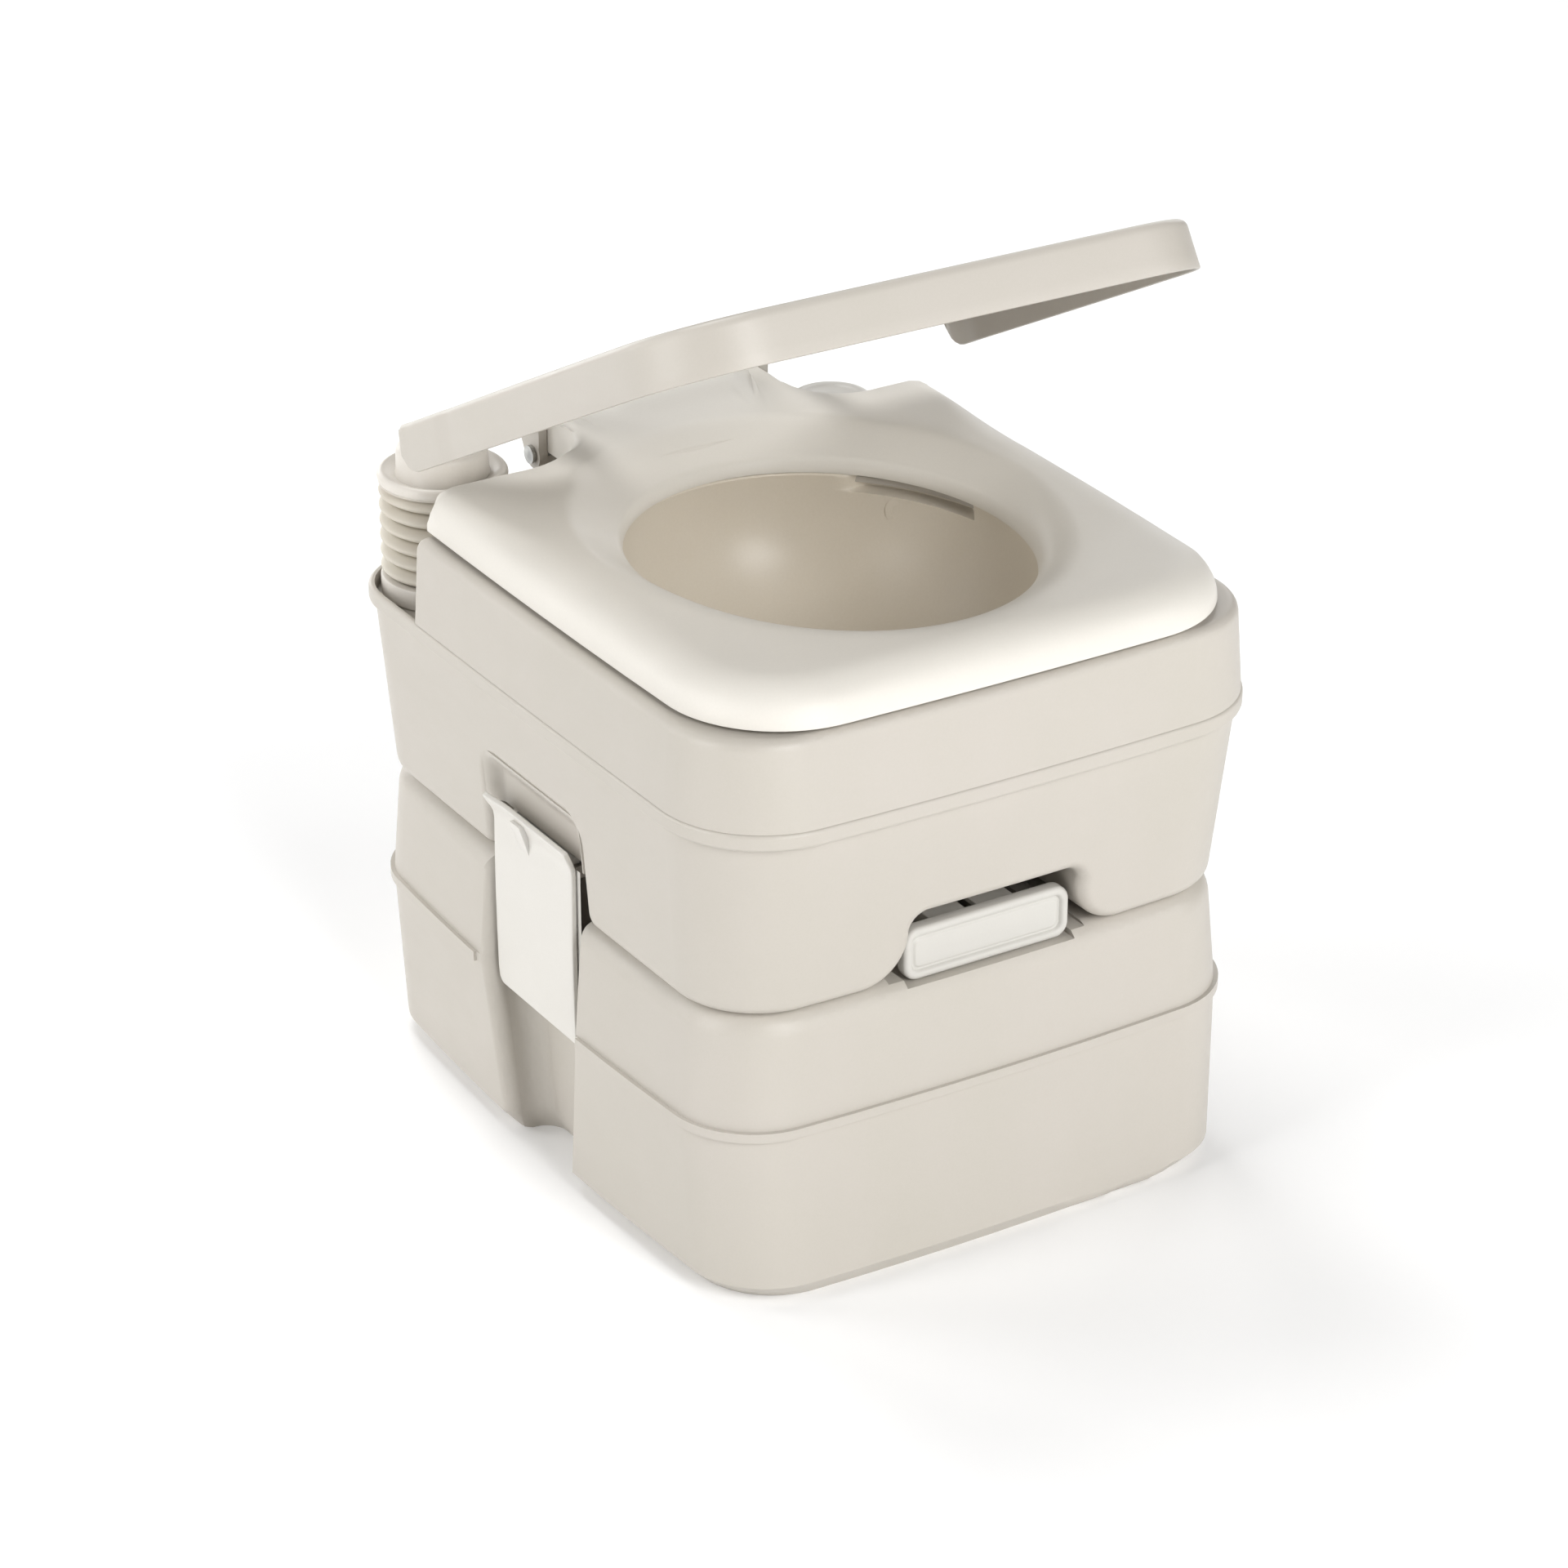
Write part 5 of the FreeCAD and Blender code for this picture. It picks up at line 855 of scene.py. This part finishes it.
def make_bowl():
    """The funnel with its flange, and the rinse slot under the rim at the right rear."""
    centre = (0.0, -28.0)
    tree = solid_tree("bowl")
    rays = spokes(centre, 144, ())
    wall = 3.0
    flange = 10.0
    slot_low, slot_deep = 304.6, 9.0
    levels = [314.2, 313.2, 311.5, 309, 307, 305.4, 304.9, 304.3, 303.4, 300, 294, 286, 278, 270, 262, 254,
              246, 238, 230, 222, 214, 206, 200, 196, 190, 182, 175, 170.2]

    def slot(ray, height):
        """How deep the rinse slot is let into the wall."""
        angle = math.degrees(math.atan2(ray.y, ray.x))
        across = ease(12, 17, angle) * ease(54, 47, angle)
        return slot_deep * across * ease(slot_low - 0.3, slot_low + 0.6, height)

    def inner(ray, height):
        """The wall, read on the side without the nozzle."""
        plain = Vector((-abs(ray.x), ray.y, 0))
        axis = Vector((0, centre[1] + (-20 - centre[1]) * ease(314, 200, height), height)) * MM
        spot = tree.ray_cast(axis, plain)[0]
        spot.x = math.copysign(spot.x, ray.x)
        return spot + ray * slot(ray, height) * MM

    skin = [[inner(ray, height) for ray in rays] for height in levels]
    back = [[point + ray * wall * MM for point, ray in zip(ring, rays)] for ring in reversed(skin[2:])]
    rim = [point.copy() for point in skin[0]]
    skin[0] = [point + ray * 1.0 * MM for point, ray in zip(rim, rays)]
    edge_high = [point + ray * (flange - 0.8) * MM for point, ray in zip(rim, rays)]
    edge_out = [point + ray * flange * MM - Vector((0, 0, 0.8 * MM)) for point, ray in zip(rim, rays)]
    edge_low = [point + ray * flange * MM - Vector((0, 0, 2.2 * MM)) for point, ray in zip(rim, rays)]
    bowl = drawn("bowl_funnel", [edge_low, edge_out, edge_high] + skin + back + [edge_low])
    dress(bowl, "bowl_plastic", "tanks", ["bowl"], 50)


# Tanks


def make_tanks():
    """The two tanks and the cover, with their moulded edges shaded smooth and a deep bevel at the floor."""
    floor_x, floor_y = 0.96, 0.967
    for node in ("waste_tank", "fresh_tank_tub", "fresh_tank_cover"):
        shell = cad_copy(node, node + "_shell")
        if node == "waste_tank":
            for vert in shell.data.vertices:
                if vert.co.z < 0.2 * MM:
                    vert.co.x *= floor_x
                    vert.co.y *= floor_y
            shell.data.update()
        dress(shell, "tank_plastic", "tanks", [node], 28)
        apply_modifier(shell, "WEIGHTED_NORMAL", keep_sharp=True, weight=80)


def make_recess(side):
    """The soft dish in the tub's side above a latch."""
    tree = solid_tree("fresh_tank_tub")
    inner, low, high, half = 150.5, 189.5, 219.5, 50.0
    columns, rows = 61, 25
    beside = 53

    def skin(y, z):
        """The tub's side, carried across the recess from both of its ends."""
        inwards = Vector((-side, 0, 0))
        fore, rear = [tree.ray_cast(at(side * 200, end, z), inwards)[0].x * side / MM
                      for end in (-beside, beside)]
        return fore + (rear - fore) * (y + beside) / (2 * beside)

    put_down()
    bpy.ops.mesh.primitive_grid_add(x_subdivisions=columns - 1, y_subdivisions=rows - 1, size=2)
    dish = bpy.context.object
    dish.name = "latch_recess_" + ("left" if side < 0 else "right")
    for vert in dish.data.vertices:
        y = half * vert.co.x
        z = low + (high - low) * (vert.co.y + 1) / 2
        flush = skin(y, z)
        deep = (flush - inner) * ease(half, 40, abs(y)) * ease(high, 206, z)
        vert.co = at(side * (flush - 0.25 - deep), y, z)
    bpy.ops.object.mode_set(mode="EDIT")
    close_up(dish)
    face_out(dish, side)
    apply_modifier(dish, "SOLIDIFY", thickness=2.0 * MM, offset=-1.0)
    dress(dish, "tank_plastic", "tanks", (), 50)


# Room


def make_floor():
    put_down()
    bpy.ops.mesh.primitive_plane_add(size=60)
    floor = bpy.context.object
    floor.name = "floor"
    finish = Finish("pale_floor")
    clouds = finish.spread(finish.noise(3, 2.0), 0.3, 0.7)
    colour = finish.mixed(clouds, tone(250, 250, 250), tone(253, 253, 253))
    finish.link(colour, finish.shader.inputs["Base Color"])
    finish.shader.inputs["Roughness"].default_value = 0.9
    finish.shader.inputs["Specular IOR Level"].default_value = 0.1
    floor.data.materials.append(finish.material)


# Azimuth and elevation in degrees, and power in watts
SOFTBOXES = ((0, 12, 47), (45, 12, 24), (135, 12, 14), (180, 12, 27), (225, 12, 25), (270, 12, 34),
             (0, 35, 64), (45, 35, 10), (135, 35, 10), (225, 35, 21), (270, 35, 31), (180, 60, 56))


def softbox(name, azimuth, elevation, power):
    """A round softbox turned to the object; azimuth 0 is in front and 90 to the right."""
    light = bpy.data.lights.new(name, "AREA")
    light.shape = "DISK"
    light.size = 1.7
    distance = 3.6
    light.energy = power
    obj = bpy.data.objects.new(name, light)
    bpy.context.scene.collection.objects.link(obj)
    around, up = math.radians(azimuth), math.radians(elevation)
    middle = Vector((0, 0, 0.2))
    out = math.cos(up)
    obj.location = middle + distance * Vector((math.sin(around) * out, -math.cos(around) * out, math.sin(up)))
    obj.rotation_euler = (middle - obj.location).to_track_quat("-Z", "Y").to_euler()


def make_light():
    """A dim white surround and softboxes all round, strongest in front."""
    world = bpy.data.worlds.new("studio")
    world.use_nodes = True
    sky = world.node_tree.nodes["Background"]
    sky.inputs["Color"].default_value = (1.0, 1.0, 1.0, 1.0)
    sky.inputs["Strength"].default_value = 0.02
    scene = bpy.context.scene
    scene.world = world
    for azimuth, elevation, power in SOFTBOXES:
        softbox(f"softbox_{azimuth}_{elevation}", azimuth, elevation, power)
    scene.view_settings.view_transform = "Standard"
    scene.view_settings.look = "None"


def make_camera():
    camera = bpy.data.cameras.new("camera")
    camera.lens = 109.94
    camera.sensor_width = 36.0
    camera.shift_x = -0.0089
    camera.shift_y = 0.0080
    camera.clip_start, camera.clip_end = 0.05, 100.0
    obj = bpy.data.objects.new("camera", camera)
    bpy.context.scene.collection.objects.link(obj)
    obj.location = (-1.1730, -1.8948, 1.2885)
    target = Vector((0, 0, 0.170))
    obj.rotation_euler = (target - obj.location).to_track_quat("-Z", "Y").to_euler()
    bpy.context.scene.camera = obj


make_camera()
dress_solids()
make_tanks()
make_bowl()
make_seat()
make_lid()
make_pump()
make_handle()
for hand in (-1, 1):
    make_latch(hand)
for hand in (-1, 1):
    make_recess(hand)
make_fill_cap()
make_floor()
make_light()
put_down()
